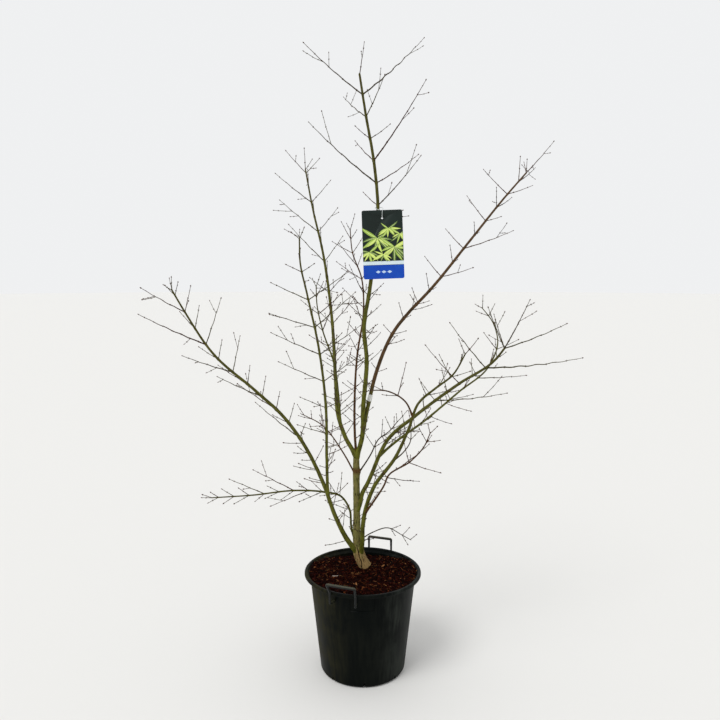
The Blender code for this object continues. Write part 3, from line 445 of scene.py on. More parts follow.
# Torn bark: dry and matt, with a fibrous grain drawn about 1 mm apart, coarser than the real
# one so that it shows.
def torn_bark(shade):
    material, shader = new_finish("bark_flake_" + shade[1:], shade, 0.82, Specular_IOR_Level=0.03)
    place = add_node(material, "TexCoord").outputs["Object"]
    fibres = add_node(material, "TexNoise", {"Vector": place, "Scale": 900.0, "Detail": 3.0})
    dark = add_node(material, "HueSaturation", {"Value": 0.45, "Color": shade})
    light = add_node(material, "HueSaturation", {"Value": 1.45, "Color": shade})
    spread = add_node(material, "MapRange", {"Value": fibres, "From Min": 0.35, "From Max": 0.68})
    colour = add_node(material, "Mix", {0: spread, 6: dark, 7: light}, data_type="RGBA")
    bump = add_node(material, "Bump", {"Height": fibres, "Distance": 0.0006, "Strength": 1.0})
    feed(shader, {"Base Color": colour, "Normal": bump})
    return material


def ease(share):
    share = min(1.0, max(0.0, share))
    return share * share * (3.0 - 2.0 * share)


def mulch_height(x, y):
    """Height of the mulch: level with the rim in front and at the sides, lower at the back."""
    out = (math.hypot(x, y) - MULCH_SHOULDER_RADIUS) / (RIM_INNER_RADIUS - MULCH_SHOULDER_RADIUS)
    back = (y - MULCH_DIP_FROM) / MULCH_DIP_REACH
    return MULCH_TOP + MULCH_EDGE_RISE * ease(out) - MULCH_BACK_DIP * ease(back)


def soil_edge(angle):
    """Height of the soil where it meets the pot's wall."""
    edge = mulch_height(SOIL_EDGE_AT * math.cos(angle), SOIL_EDGE_AT * math.sin(angle))
    return edge - SOIL_EDGE_BELOW


soil = bmesh.new()
rings = []
for share in np.linspace(0.0, 1.0, SOIL_RINGS):
    angles = [2.0 * math.pi * step / SOIL_SIDES for step in range(SOIL_SIDES)] if share else [0.0]
    ring = []
    for angle in angles:
        radius = share * (inside_radius(soil_edge(angle)) - SOIL_WALL_GAP)
        spot = Vector((radius * math.cos(angle), radius * math.sin(angle), 0.0))
        lump = noise.fractal(spot * SOIL_LUMPS_PER_METRE, 1.0, 2.0, 3) * SOIL_LUMP
        spot.z = mulch_height(spot.x, spot.y) - SOIL_BELOW + lump
        ring.append(soil.verts.new(spot))
    rings.append(ring)
# Under its top the soil follows the pot's wall down and narrows to its foot.
for widest, level in ((RIM_RADIUS, INNER_STEP_FOOT - 0.0005), (RIM_RADIUS, SOIL_STEP), SOIL_FOOT):
    ring = []
    for angle in angles:
        height = min(soil_edge(angle) - 0.001, level)
        radius = min(inside_radius(height) - SOIL_WALL_GAP, widest)
        ring.append(soil.verts.new((radius * math.cos(angle), radius * math.sin(angle), height)))
    rings.append(ring)
for lower, upper in zip(rings, rings[1:]):
    for step in range(SOIL_SIDES):
        after = (step + 1) % SOIL_SIDES
        corners = [lower[step % len(lower)], lower[after % len(lower)], upper[after], upper[step]]
        soil.faces.new(list(dict.fromkeys(corners)))
soil.faces.new(rings[-1])
soil_piece = add_piece("potting_soil", soil, [potting_soil()], crease=60.0)
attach(soil_piece, "root")
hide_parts("mulch")


class Gathered:
    """Many small shapes gathered into one mesh, each face with its own finish."""

    def __init__(self):
        self.points = []
        self.faces = []
        self.finishes = []
        self.bark = []
        self.age = []

    def add(self, points, faces, finish):
        start = len(self.points)
        self.points.extend(points)
        for face in faces:
            self.faces.append([start + corner for corner in face])
            self.finishes.append(finish)

    def piece(self, name, materials, crease=None):
        mesh = bpy.data.meshes.new(name)
        mesh.from_pydata([tuple(point) for point in self.points], [], self.faces)
        mesh.polygons.foreach_set("material_index", self.finishes)
        for layer_name, layer in (("bark", self.bark), ("age", self.age)):
            if layer:
                uv = mesh.uv_layers.new(name=layer_name)
                uv.data.foreach_set("uv", np.array(layer, dtype=np.float32).ravel())
        for material in materials:
            mesh.materials.append(material)
        if crease is None:
            mesh.shade_smooth()
        else:
            mesh.set_sharp_from_angle(angle=math.radians(crease))
        mesh.update()
        piece = bpy.data.objects.new(name, mesh)
        bpy.context.scene.collection.objects.link(piece)
        return piece


def sleeve(sides, rings):
    """The faces round a stack of rings of points."""
    faces = []
    for low in range(0, sides * (rings - 1), sides):
        for side in range(sides):
            after = (side + 1) % sides
            faces.append([low + side, low + after, low + sides + after, low + sides + side])
    return faces


def flake(rng, length, width, thickness):
    """A torn flake: an uneven six-sided outline, thinner at one end."""
    outline = []
    for step in range(6):
        angle = math.pi * step / 3.0 + rng.uniform(-0.25, 0.25)
        reach = rng.uniform(0.72, 1.08)
        outline.append((0.5 * length * math.cos(angle) * reach, 0.5 * width * math.sin(angle) * reach))
    sag = rng.uniform(-0.12, 0.12) * length
    points = []
    for level in (-0.5, 0.5):
        for x, y in outline:
            curl = sag * (2.0 * x / length) ** 2
            points.append(Vector((x, y, curl + level * thickness * (1.0 - 0.6 * x / length))))
    return points, [[5, 4, 3, 2, 1, 0], [6, 7, 8, 9, 10, 11]] + sleeve(6, 2)


rng = random.Random(7)
chips = Gathered()
for index in range(CHIP_COUNT + FIBRE_COUNT):
    fibre = index >= CHIP_COUNT
    thickest, tilt_spread, highest = FIBRE_LIMITS if fibre else FLAKE_LIMITS
    radius = CHIPS_REACH * math.sqrt(rng.random())
    angle = rng.uniform(0.0, 2.0 * math.pi)
    length = rng.uniform(*FIBRE_LENGTHS) if fibre else FLAKE_SHORTEST + FLAKE_SPREAD * rng.random() ** 2.2
    width = rng.uniform(*FIBRE_WIDTHS) if fibre else length * rng.uniform(*FLAKE_WIDTHS)
    points, faces = flake(rng, length, width, rng.uniform(THINNEST, thickest))
    tilt = Matrix.Rotation(rng.gauss(0.0, tilt_spread), 4, "Y")
    roll = Matrix.Rotation(rng.gauss(0.0, 0.5), 4, "X")
    spin = Matrix.Rotation(rng.uniform(0.0, 2.0 * math.pi), 4, "Z")
    centre = Vector((radius * math.cos(angle), radius * math.sin(angle), 0.0))
    centre.z = mulch_height(centre.x, centre.y) + rng.uniform(DEEPEST, highest)
    if (centre.xy - Vector(TRUNK_FOOT_AT)).length < TRUNK_FOOT_REACH:
        continue
    turn = spin @ tilt @ roll
    placed = [centre + turn @ point for point in points]
    if any(point.xy.length > inside_radius(point.z) - CHIP_WALL_GAP for point in placed):
        continue
    kinds = (FIBRE_SHADES, FIBRE_WEIGHTS) if fibre else (range(len(CHIP_SHADES)), FLAKE_WEIGHTS)
    chips.add(placed, faces, rng.choices(*kinds)[0])
splinter_points, splinter_faces = flake(rng, *SPLINTER_SIZE)
splinter_turn = Matrix.Translation(SPLINTER_PLACE) @ Matrix.Rotation(0.2, 4, "Z")
chips.add([splinter_turn @ point for point in splinter_points], splinter_faces, len(CHIP_SHADES))
flakes = [torn_bark(shade) for shade, weight in CHIP_SHADES] + [torn_bark("#b9b0a4")]
chip_piece = chips.piece("bark_chips", flakes, crease=30.0)
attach(chip_piece, "root")
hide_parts("mulch")


# Trunk and boughs. A short trunk leans at its foot, where its bark is tan and fissured. The boughs
# spring from it low down, smooth and satin, green with algae and darker towards the tips, with a
# raised ring at each place where a pair of twigs sits.
TRUNK = (
    (MULCH_TOP + SEAT, *TRUNK_FOOT_AT, 0.0240),
    (0.373, 0.002, 0.038, 0.0230),
    (0.393, -0.008, 0.039, 0.0225),
    (0.412, -0.0155, 0.040, 0.0220),
    (0.440, -0.0215, 0.041, 0.0155),
    (0.537, -0.023, 0.043, 0.0136),
    (0.642, -0.024, 0.045, 0.0132),
    (0.715, -0.025, 0.047, 0.0134),
    (0.801, -0.025, 0.047, 0.0116),
)
TRUNK_SIDES = 96
TRUNK_STEPS = 170
SPLIT_WIDTH = 0.0013
SPLIT_DEPTH = 0.0040
SPLIT_LENGTH = 0.095
SPLIT_SHARE = 0.30
DOME_RINGS = 6
SCAR_AT = 0.375
SCAR_LENGTH = 0.012
SCAR_RISE = 0.0034
SCAR_HEIGHT = 0.730
COLLAR_SWELL, COLLAR_LENGTH = 0.42, 0.024
LEFT_SWELL, LEFT_SWELL_LENGTH = 0.24, 0.130
RING_SWELL, RING_LENGTH = 0.16, 0.0045
PLATE_RISE = 0.0010
PLATE_SUNK = 0.0008
TRUNK_LUMP = 0.0012
BOUGH_LUMP = 0.075
BOUGH_RIPPLE = 0.035
WOOD_STEP = 0.0045
STOUT_LIMB = 0.0070
OLIVE, MOSS, RUSSET, WALNUT, TWIG_BROWN = range(5)


class Limb:
    """One limb: the route of its stem, its girth and the lengths of its twigs.

    route runs from the axis of the limb that bears it, and girth is its radius at foot and tip.
    pairs holds the left and right twig of each node in centimetres, lowest node first, and
    fan the twigs at the very tip. Angles are in degrees: turn is the turn of the lowest pair
    out of the XZ plane and fork the opening of the pairs. lean is how far pairs face the light
    and curl how much each twig bends up to it.
    """

    def __init__(self, name, route, girth, pairs, fan, spacing, bearer, top_gap=0.045, turn=0.0,
                 fork=56.0, lean=0.42, curl=0.16, bough=True, colour=OLIVE):
        self.name = name
        self.route = [Vector(point) for point in route]
        self.base, self.tip = girth
        self.pairs = pairs
        self.fan = fan
        self.spacing = spacing
        self.bearer = bearer
        self.top_gap = top_gap
        self.turn = math.radians(turn)
        self.fork = math.radians(fork)
        self.lean = lean
        self.curl = curl
        self.bough = bough
        self.colour = colour


LIMBS = (
    Limb("leader",
         ((-0.025, 0.047, 0.780), (-0.003, 0.040, 0.858), (0.002, 0.030, 0.981), (0.015, 0.025, 1.172),
          (0.005, 0.025, 1.281), (0.028, 0.025, 1.444), (0.059, 0.025, 1.749), (0.044, 0.030, 1.930),
          (0.011, 0.040, 2.126), (-0.013, 0.045, 2.284)),
         (0.0094, 0.0042),
         ((6, 8), (8, 8), (8, 12), (10, 9), (8, 11), (10, 10), (14, 22), (34, 14), (11, 30),
          (34, 23), (16, 40), (8, 11), (23, 21), (30, 43)),
         (12,), 0.088, "trunk", top_gap=0.086, turn=-60, fork=62, lean=0.70, curl=0.22),
    Limb("fork_left",
         ((-0.026, 0.047, 0.785), (-0.068, 0.062, 0.856), (-0.100, 0.095, 0.948), (-0.107, 0.120, 1.040),
          (-0.126, 0.195, 1.308), (-0.167, 0.255, 1.589), (-0.213, 0.295, 1.781), (-0.247, 0.325, 1.954)),
         (0.0085, 0.0028),
         ((5, 6), (10, 9), (8, 7), (10, 14), (8, 8), (10, 12), (8, 8), (21, 14), (12, 9), (20, 13),
          (9, 8), (19, 13), (9, 9), (12, 9)),
         (9, 8), 0.0665, "trunk", top_gap=0.021, turn=-80, fork=48, curl=0.12, colour=MOSS),
    Limb("red_stem",
         ((-0.026, 0.048, 0.785), (-0.031, 0.068, 0.868), (-0.032, 0.100, 0.996), (-0.023, 0.135, 1.159),
          (0.004, 0.185, 1.350), (-0.004, 0.235, 1.481), (-0.043, 0.275, 1.592), (-0.053, 0.295, 1.691)),
         (0.0052, 0.0020),
         ((6, 8), (9, 7), (8, 9), (12, 8), (14, 9), (15, 9), (15, 10), (14, 9), (11, 8), (9, 7)),
         (7, 6), 0.062, "trunk", turn=-30, fork=52, lean=0.30, curl=0.12,
         colour=RUSSET),
    Limb("brown_bough",
         ((0.000, 0.032, 0.895), (0.022, 0.050, 0.985), (0.053, 0.080, 1.106), (0.138, 0.125, 1.285),
          (0.180, 0.145, 1.334), (0.277, 0.185, 1.432), (0.450, 0.265, 1.634), (0.621, 0.335, 1.836),
          (0.722, 0.375, 1.946)),
         (0.0080, 0.0034),
         ((5, 6), (9, 5), (5, 5), (9, 5), (12, 14), (10, 5), (12, 22), (7, 6), (15, 7), (11, 20),
          (15, 11), (12, 24)),
         (18, 8, 7), 0.081, "leader", top_gap=0.062, turn=-30, fork=62, lean=0.45, colour=WALNUT),
    Limb("fork_left_side",
         ((-0.086, 0.080, 0.900), (-0.095, 0.055, 1.023), (-0.111, 0.005, 1.155), (-0.152, -0.025, 1.281),
          (-0.173, -0.045, 1.381), (-0.176, -0.055, 1.456)),
         (0.0042, 0.0018),
         ((4, 5), (6, 8), (9, 8), (8, 15), (9, 15), (6, 8)),
         (5, 5), 0.066, "fork_left", turn=-25, fork=60, colour=MOSS),
    Limb("left_bough",
         ((-0.016, 0.036, 0.395), (-0.061, 0.025, 0.469), (-0.106, 0.005, 0.566), (-0.148, -0.015, 0.691),
          (-0.241, -0.045, 0.882), (-0.300, -0.058, 0.963), (-0.396, -0.075, 1.057),
          (-0.552, -0.095, 1.199), (-0.658, -0.115, 1.363), (-0.700, -0.135, 1.444)),
         (0.0088, 0.0028),
         ((22, 7), (8, 8), (20, 8), (20, 8), (14, 9), (21, 15), (10, 9), (28, 21), (10, 10), (20, 10),
          (6, 6)),
         (5, 5, 4), 0.0715, "trunk", top_gap=0.028, turn=-40, fork=48, lean=0.40, curl=0.10,
         colour=MOSS),
    Limb("left_upright",
         ((-0.128, -0.010, 0.655), (-0.136, -0.055, 0.816), (-0.136, -0.105, 0.995),
          (-0.160, -0.175, 1.239), (-0.196, -0.235, 1.427), (-0.217, -0.275, 1.539),
          (-0.217, -0.305, 1.623)),
         (0.0062, 0.0024),
         ((12, 6), (9, 7), (10, 6), (9, 8), (17, 16), (9, 8), (20, 17), (9, 9), (17, 19), (9, 8),
          (15, 17), (8, 7), (6, 5), (5, 5)),
         (4, 4), 0.053, "left_bough", top_gap=0.073, turn=6, fork=64, lean=0.30, curl=0.05,
         colour=MOSS),
    Limb("low_left_arm",
         ((-0.018, 0.050, 0.415), (-0.045, 0.070, 0.501), (-0.051, 0.074, 0.565), (-0.088, 0.072, 0.622),
          (-0.148, 0.055, 0.642), (-0.257, 0.015, 0.661), (-0.417, -0.045, 0.662),
          (-0.563, -0.105, 0.671)),
         (0.0046, 0.0019),
         ((6, 7), (11, 6), (15, 7), (8, 19), (6, 6), (5, 15), (6, 6), (5, 5), (4, 4)),
         (4, 4), 0.058, "trunk", top_gap=0.030, turn=-30, fork=38, lean=0.05, curl=0.0),
    Limb("right_bough",
         ((-0.022, 0.044, 0.570), (-0.0085, 0.037, 0.610), (-0.003, 0.034, 0.640), (0.017, 0.028, 0.681),
          (0.041, 0.012, 0.741), (0.062, -0.004, 0.799), (0.091, -0.025, 0.861),
          (0.201, -0.065, 0.969), (0.352, -0.115, 1.093), (0.478, -0.155, 1.186), (0.512, -0.175, 1.235)),
         (0.0086, 0.0036),
         ((8, 9), (9, 26), (14, 9), (21, 37), (9, 9), (21, 36), (9, 9)),
         (22, 18, 17, 24, 16, 11), 0.0565, "trunk", top_gap=0.052, turn=-80, fork=70, lean=0.50,
         curl=0.18, colour=MOSS),
    Limb("right_second",
         ((0.060, -0.008, 0.800), (0.132, 0.015, 0.853), (0.232, 0.045, 0.917), (0.381, 0.085, 1.030),
          (0.509, 0.125, 1.128), (0.548, 0.145, 1.222), (0.531, 0.155, 1.299), (0.486, 0.165, 1.363)),
         (0.0050, 0.0018),
         ((5, 9), (7, 9), (7, 18), (9, 10), (8, 9), (6, 7), (5, 5)),
         (5, 4), 0.072, "right_bough", turn=-15, fork=55, lean=0.40, curl=0.12),
    Limb("low_right_stem",
         ((-0.010, 0.032, 0.395), (-0.002, 0.012, 0.458), (0.000, -0.002, 0.530), (0.010, -0.012, 0.594),
          (0.039, -0.045, 0.687), (0.121, -0.105, 0.822), (0.167, -0.155, 0.940), (0.200, -0.195, 1.040),
          (0.256, -0.225, 1.096), (0.312, -0.255, 1.147), (0.355, -0.275, 1.226)),
         (0.0092, 0.0022),
         ((6, 8), (6, 9), (8, 7), (6, 6)),
         (7, 6), 0.058, "trunk", turn=-12),
    Limb("low_right_inner",
         ((0.176, -0.170, 0.985), (0.150, -0.205, 1.045), (0.081, -0.235, 1.088), (0.026, -0.245, 1.092)),
         (0.0034, 0.0018),
         ((6, 12), (6, 5)),
         (4, 4), 0.060, "low_right_stem", turn=25, bough=False, colour=RUSSET),
    Limb("low_right_side",
         ((0.006, -0.010, 0.580), (0.050, -0.055, 0.655), (0.080, -0.095, 0.717), (0.091, -0.115, 0.752),
          (0.172, -0.175, 0.826), (0.216, -0.215, 0.888), (0.236, -0.245, 0.946)),
         (0.0042, 0.0017),
         ((6, 12), (8, 17), (7, 12), (6, 8), (5, 5)),
         (4, 3), 0.060, "low_right_stem", turn=-20, fork=62, lean=0.10, bough=False,
         colour=RUSSET),
    Limb("low_right_curl",
         ((0.112, -0.098, 0.802), (0.150, -0.090, 0.835), (0.176, -0.080, 0.870), (0.180, -0.075, 0.925)),
         (0.0026, 0.0013),
         ((4, 4),),
         (4,), 0.050, "low_right_stem", turn=30, bough=False, colour=TWIG_BROWN),
    Limb("trunk_left_shoot",
         ((-0.026, 0.048, 0.708), (-0.081, 0.105, 0.789), (-0.169, 0.165, 0.884), (-0.247, 0.205, 0.916)),
         (0.0034, 0.0016),
         ((8, 6), (7, 7), (6, 8), (6, 5)),
         (5, 4), 0.056, "trunk", turn=-25, fork=50, lean=0.15, bough=False, colour=RUSSET),
    Limb("trunk_right_shoot",
         ((-0.024, 0.048, 0.708), (0.033, 0.085, 0.784), (0.062, 0.115, 0.833), (0.110, 0.155, 0.860),
          (0.145, 0.175, 0.896)),
         (0.0032, 0.0016),
         ((7, 6), (8, 8), (6, 5)),
         (6, 5), 0.056, "trunk", turn=-35, bough=False, colour=TWIG_BROWN),
    Limb("low_right_twig",
         ((-0.018, 0.044, 0.455), (0.040, 0.060, 0.483), (0.099, 0.085, 0.491), (0.155, 0.100, 0.458),
          (0.195, 0.110, 0.432)),
         (0.0024, 0.0012),
         ((4, 6), (5, 4)),
         (3, 3), 0.055, "trunk", turn=35, lean=0.10, bough=False,
         colour=TWIG_BROWN),
)


class Route:
    """A smooth curve through a path's points, measured along its length."""

    STEPS = 16

    def __init__(self, points, closed=False):
        count = len(points)
        last = count if closed else count - 1
        slopes = []
        for index, point in enumerate(points):
            before = points[index - 1] if index or closed else None
            after = points[(index + 1) % count] if index < count - 1 or closed else None
            if before is None:
                slopes.append((after - point).normalized())
            elif after is None:
                slopes.append((point - before).normalized())
            else:
                near = (point - before).length
                far = (after - point).length
                slopes.append(((point - before) / near * far + (after - point) / far * near) / (near + far))
        self.points = [points[0].copy()]
        for index in range(last):
            start = points[index]
            end = points[(index + 1) % count]
            chord = (end - start).length
            for step in range(1, self.STEPS + 1):
                t = step / self.STEPS
                point = start * (2 * t**3 - 3 * t**2 + 1) + end * (3 * t**2 - 2 * t**3)
                point += slopes[index] * chord * (t**3 - 2 * t**2 + t)
                point += slopes[(index + 1) % count] * chord * (t**3 - t**2)
                self.points.append(point)
        self.marks = [0.0]
        for before, after in zip(self.points, self.points[1:]):
            self.marks.append(self.marks[-1] + (after - before).length)
        self.length = self.marks[-1]

    def at(self, distance):
        distance = min(max(distance, 0.0), self.length)
        for index in range(1, len(self.marks)):
            if self.marks[index] >= distance:
                span = self.marks[index] - self.marks[index - 1]
                share = (distance - self.marks[index - 1]) / span
                return self.points[index - 1].lerp(self.points[index], share)
        return self.points[-1].copy()

    def heading(self, distance):
        reach = 0.004
        return (self.at(distance + reach) - self.at(distance - reach)).normalized()

    def nearest(self, place):
        return min(self.points, key=lambda point: (point - place).length).copy()

    def stretch(self, start, end, step):
        """Evenly spaced distances from start to end."""
        count = max(1, round((end - start) / step))
        return [start + (end - start) * index / count for index in range(count + 1)]


# Old bark at the foot: tan, dry and finely fissured, with cracks every 4 mm or so. Higher up
# the trunk it turns grey-green under a film of algae, with tan patches where it has rubbed and
# a red-brown scar where a bough was once cut away.
def old_bark():
    material, shader = new_finish("old_maple_bark", "#665021", 0.86, Specular_IOR_Level=0.10)
    place = add_node(material, "TexCoord").outputs["Object"]
    stretched = add_node(material, "Mapping", {"Vector": place, "Scale": (260.0, 260.0, 45.0)})
    fissures = add_node(material, "TexNoise", {"Vector": stretched, "Scale": 1.0, "Detail": 5.0,
                                               "Roughness": 0.6})
    patches = add_node(material, "TexNoise", {"Vector": place, "Scale": 42.0, "Detail": 3.0})
    height = add_node(material, "SeparateXYZ", {"Vector": place}).outputs["Z"]
    ragged = add_node(material, "Math", {0: patches, 1: 0.16, 2: height}, operation="MULTIPLY_ADD")
    algae = add_node(material, "MapRange", {"Value": ragged, "From Min": 0.475, "From Max": 0.535})
    tan = add_node(material, "Mix", {0: fissures, 6: "#574325", 7: "#a2875a"}, data_type="RGBA")
    green = add_node(material, "Mix", {0: fissures, 6: "#47451f", 7: "#86814a"}, data_type="RGBA")
    bare = add_node(material, "MapRange", {"Value": patches, "From Min": 0.52, "From Max": 0.66})
    upper = add_node(material, "Mix", {0: bare, 6: green, 7: "#776e40"}, data_type="RGBA")
    base = add_node(material, "Mix", {0: algae, 6: tan, 7: upper}, data_type="RGBA")
    cracks = add_node(material, "MapRange", {"Value": fissures, "From Min": 0.36, "From Max": 0.44,
                                             "To Min": 1.0, "To Max": 0.0})
    from_scar = add_node(material, "Math", {0: height, 1: SCAR_HEIGHT}, operation="SUBTRACT")
    away = add_node(material, "Math", {0: from_scar}, operation="ABSOLUTE")
    scar = add_node(material, "MapRange", {"Value": away, "From Min": 0.004, "From Max": 0.016,
                                           "To Min": 0.8, "To Max": 0.0})
    scarred = add_node(material, "Mix", {0: scar, 6: base, 7: "#4c2a17"}, data_type="RGBA")
    colour = add_node(material, "Mix", {0: cracks, 6: scarred, 7: "#1a1309"}, data_type="RGBA")
    bump = add_node(material, "Bump", {"Height": fissures, "Distance": 0.0016, "Strength": 0.9})
    feed(shader, {"Base Color": colour, "Normal": bump})
    return material


# The split's inside: bare wood, painted nearly black as the shadow deep in the split.
def split_shadow_bark():
    material, shader = new_finish("shaded_split_wood", "#1d150b", 0.95, Specular_IOR_Level=0.05)
    place = add_node(material, "TexCoord").outputs["Object"]
    grain = add_node(material, "TexNoise", {"Vector": place, "Scale": 500.0, "Detail": 3.0})
    colour = add_node(material, "Mix", {0: grain, 6: "#120c06", 7: "#2e2313"}, data_type="RGBA")
    feed(shader, {"Base Color": colour})
    return material


# Young maple bark: smooth and waxy with a satin sheen, mottled by algae in patches of 10 to
# 30 mm, with fine lengthwise lines and pale breathing pores. It darkens towards the tip.
def young_bark(name, foot, tip, dark, pale, turns=(0.0, 1.0)):
    material, shader = new_finish(name, foot, 0.55, Specular_IOR_Level=0.12)
    bark_at = add_node(material, "UVMap", uv_map="bark")
    bark = add_node(material, "SeparateXYZ", {"Vector": bark_at})
    angle = add_node(material, "Math", {0: bark.outputs["X"], 1: 2.0 * math.pi}, operation="MULTIPLY")
    side = add_node(material, "Math", {0: angle}, operation="COSINE")
    front = add_node(material, "Math", {0: angle}, operation="SINE")
    stem = add_node(material, "CombineXYZ", {"X": side, "Y": front, "Z": bark.outputs["Y"]})
    lines_at = add_node(material, "Mapping", {"Vector": stem, "Scale": (4.0, 4.0, 40.0)})
    lines = add_node(material, "TexNoise", {"Vector": lines_at, "Scale": 1.0, "Detail": 5.0,
                                            "Roughness": 0.65})
    mottle_at = add_node(material, "Mapping", {"Vector": stem, "Scale": (0.8, 0.8, 38.0)})
    mottle = add_node(material, "TexNoise", {"Vector": mottle_at, "Scale": 1.0, "Detail": 4.0,
                                             "Roughness": 0.7})
    pores_at = add_node(material, "Mapping", {"Vector": stem, "Scale": (2.4, 2.4, 300.0)})
    pores = add_node(material, "TexVoronoi", {"Vector": pores_at, "Scale": 1.0})
    age_at = add_node(material, "UVMap", uv_map="age")
    age = add_node(material, "SeparateXYZ", {"Vector": age_at}).outputs["X"]
    turned_by = add_node(material, "MapRange", {"Value": age, "From Min": turns[0], "From Max": turns[1]})
    base = add_node(material, "Mix", {0: turned_by, 6: foot, 7: tip}, data_type="RGBA")
    spread = add_node(material, "MapRange", {"Value": mottle, "From Min": 0.42, "From Max": 0.66})
    mottled = add_node(material, "Mix", {0: spread, 6: base, 7: dark}, data_type="RGBA")
    fine = add_node(material, "MapRange", {"Value": lines, "From Min": 0.52, "From Max": 0.72,
                                           "To Max": 0.55})
    lined = add_node(material, "Mix", {0: fine, 6: mottled, 7: pale}, data_type="RGBA")
    spots = add_node(material, "MapRange", {"Value": pores, "From Min": 0.10, "From Max": 0.20,
                                            "To Min": 0.7, "To Max": 0.0})
    colour = add_node(material, "Mix", {0: spots, 6: lined, 7: pale}, data_type="RGBA")
    rough = add_node(material, "MapRange", {"Value": mottle, "To Min": 0.42, "To Max": 0.72})
    bump = add_node(material, "Bump", {"Height": lines, "Distance": 0.0005, "Strength": 0.6})
    feed(shader, {"Base Color": colour, "Roughness": rough, "Normal": bump})
    return material


def girth_at(limb, share):
    """Radius along a limb: a quick taper at the foot, then an even one."""
    return limb.tip + (limb.base - limb.tip) * max(0.0, 1.0 - share) ** 0.85


def limb_routes():
    """The route of each limb, springing from the axis of the one that bears it."""
    routes = {"trunk": Route([Vector((x, y, height)) for height, x, y, radius in TRUNK])}
    for limb in LIMBS:
        foot = routes[limb.bearer].nearest(limb.route[0])
        routes[limb.name] = Route([foot] + limb.route[1:])
    return routes


def add_wood(wood, path, radii, sides, finish, relief, start_v=0.0):
    """Adds a limb with its bark relief, and where each point lies round and along it."""
    rings = []
    normal = None
    length = sum((b - a).length for a, b in zip(path, path[1:]))
    reached = 0.0
    marks = []
    for index, point in enumerate(path):
        before = path[max(0, index - 1)]
        after = path[min(len(path) - 1, index + 1)]
        along = (after - before).normalized()
        if normal is None:
            normal = Vector((0.0, 1.0, 0.0)) - along * along.y
        normal, across = square_to(along, normal)
        if index:
            reached += (point - path[index - 1]).length
        marks.append(reached)
        ring = []
        for side in range(sides):
            angle = 2.0 * math.pi * side / sides
            outward = spoke(normal, across, angle)
            rise = relief(angle, reached + start_v, radii[index], outward)
            ring.append(point + outward * (radii[index] + rise))
        rings.append(ring)
    points = [point for ring in rings for point in ring]
    faces = sleeve(sides, len(path))
    for number in range(len(faces)):
        index, side = divmod(number, sides)
        for u, mark in ((side, index), (side + 1, index), (side + 1, index + 1), (side, index + 1)):
            wood.bark.append((u / sides, marks[mark] + start_v))
            wood.age.append((marks[mark] / length, 0.0))
    faces.append(list(range(len(points) - sides, len(points))))
    wood.add(points, faces, finish)
    wood.bark.extend([(0.0, length + start_v)] * sides)
    wood.age.extend([(1.0, 0.0)] * sides)


opened_at = []


def trunk_relief(angle, mark, radius, outward):
    """Fissures that run up the trunk, lumps, one deep split down its foot and a scar."""
    spot = Vector((math.cos(angle) * 2.2, math.sin(angle) * 2.2, mark * 26.0))
    fissure = abs(noise.noise(spot * 1.7))
    lump = noise.noise(Vector((math.cos(angle), math.sin(angle), mark * 14.0)))
    split = abs(outward.x + max(0.0, 0.42 - 9.0 * mark) + 0.08 * math.sin(mark * 160.0)) * radius
    front = outward.y < 0.0 and mark < SPLIT_LENGTH
    opened = math.exp(-(split / SPLIT_WIDTH) ** 2) if front else 0.0
    opened_at.append(opened)
    scar = SCAR_RISE * math.exp(-((mark - SCAR_AT) / SCAR_LENGTH) ** 2) * max(0.0, 0.3 + outward.x)
    plates = PLATE_RISE * min(1.0, fissure * 3.2) - PLATE_SUNK
    return plates + TRUNK_LUMP * lump - SPLIT_DEPTH * opened + scar


def bough_relief(angle, mark, radius, outward):
    """Slight lumps and flats, in step with the limb's thickness."""
    spot = Vector((math.cos(angle), math.sin(angle), mark * 32.0))
    ripple = noise.noise(Vector((math.cos(angle) * 2.0, math.sin(angle) * 2.0, mark * 120.0)))
    return radius * (BOUGH_LUMP * noise.noise(spot) + BOUGH_RIPPLE * ripple)


routes = limb_routes()
trunk_route = routes["trunk"]
trunk_marks = [trunk_route.length * step / TRUNK_STEPS for step in range(TRUNK_STEPS + 1)]
trunk_path = [trunk_route.at(mark) for mark in trunk_marks]
heights = [row[0] for row in TRUNK]
trunk_radii = [float(np.interp(point.z, heights, [row[3] for row in TRUNK])) for point in trunk_path]
for index in range(1, DOME_RINGS + 1):
    trunk_radii[-index] *= math.sqrt(1.0 - (1.0 - index / (DOME_RINGS + 1.0)) ** 2)
trunk = Gathered()
add_wood(trunk, trunk_path, trunk_radii, TRUNK_SIDES, 0, trunk_relief)
# Faces deep in the split take the painted shadow finish.
for index, face in enumerate(trunk.faces):
    if sum(opened_at[corner] for corner in face) > SPLIT_SHARE * len(face):
        trunk.finishes[index] = 1
for point in trunk.points:
    point.z = max(point.z, TRUNK[0][0])
trunk_piece = trunk.piece("trunk_wood", [old_bark(), split_shadow_bark()])
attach(trunk_piece, "root")
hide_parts("trunk")

barks = [
    young_bark("olive_maple_bark", "#595b15", "#403b15", "#2d2c0b", "#827f38"),
    young_bark("mossy_maple_bark", "#5b5d19", "#423d18", "#302f0d", "#86833c"),
    young_bark("russet_maple_bark", "#4f3216", "#452f1c", "#2c1d0b", "#7d5c38"),
    young_bark("walnut_maple_bark", "#53551a", "#523a22", "#2f2410", "#7f643c", turns=(0.09, 0.14)),
    young_bark("twig_maple_bark", "#42361f", "#382d22", "#241d14", "#6a5b40"),
]


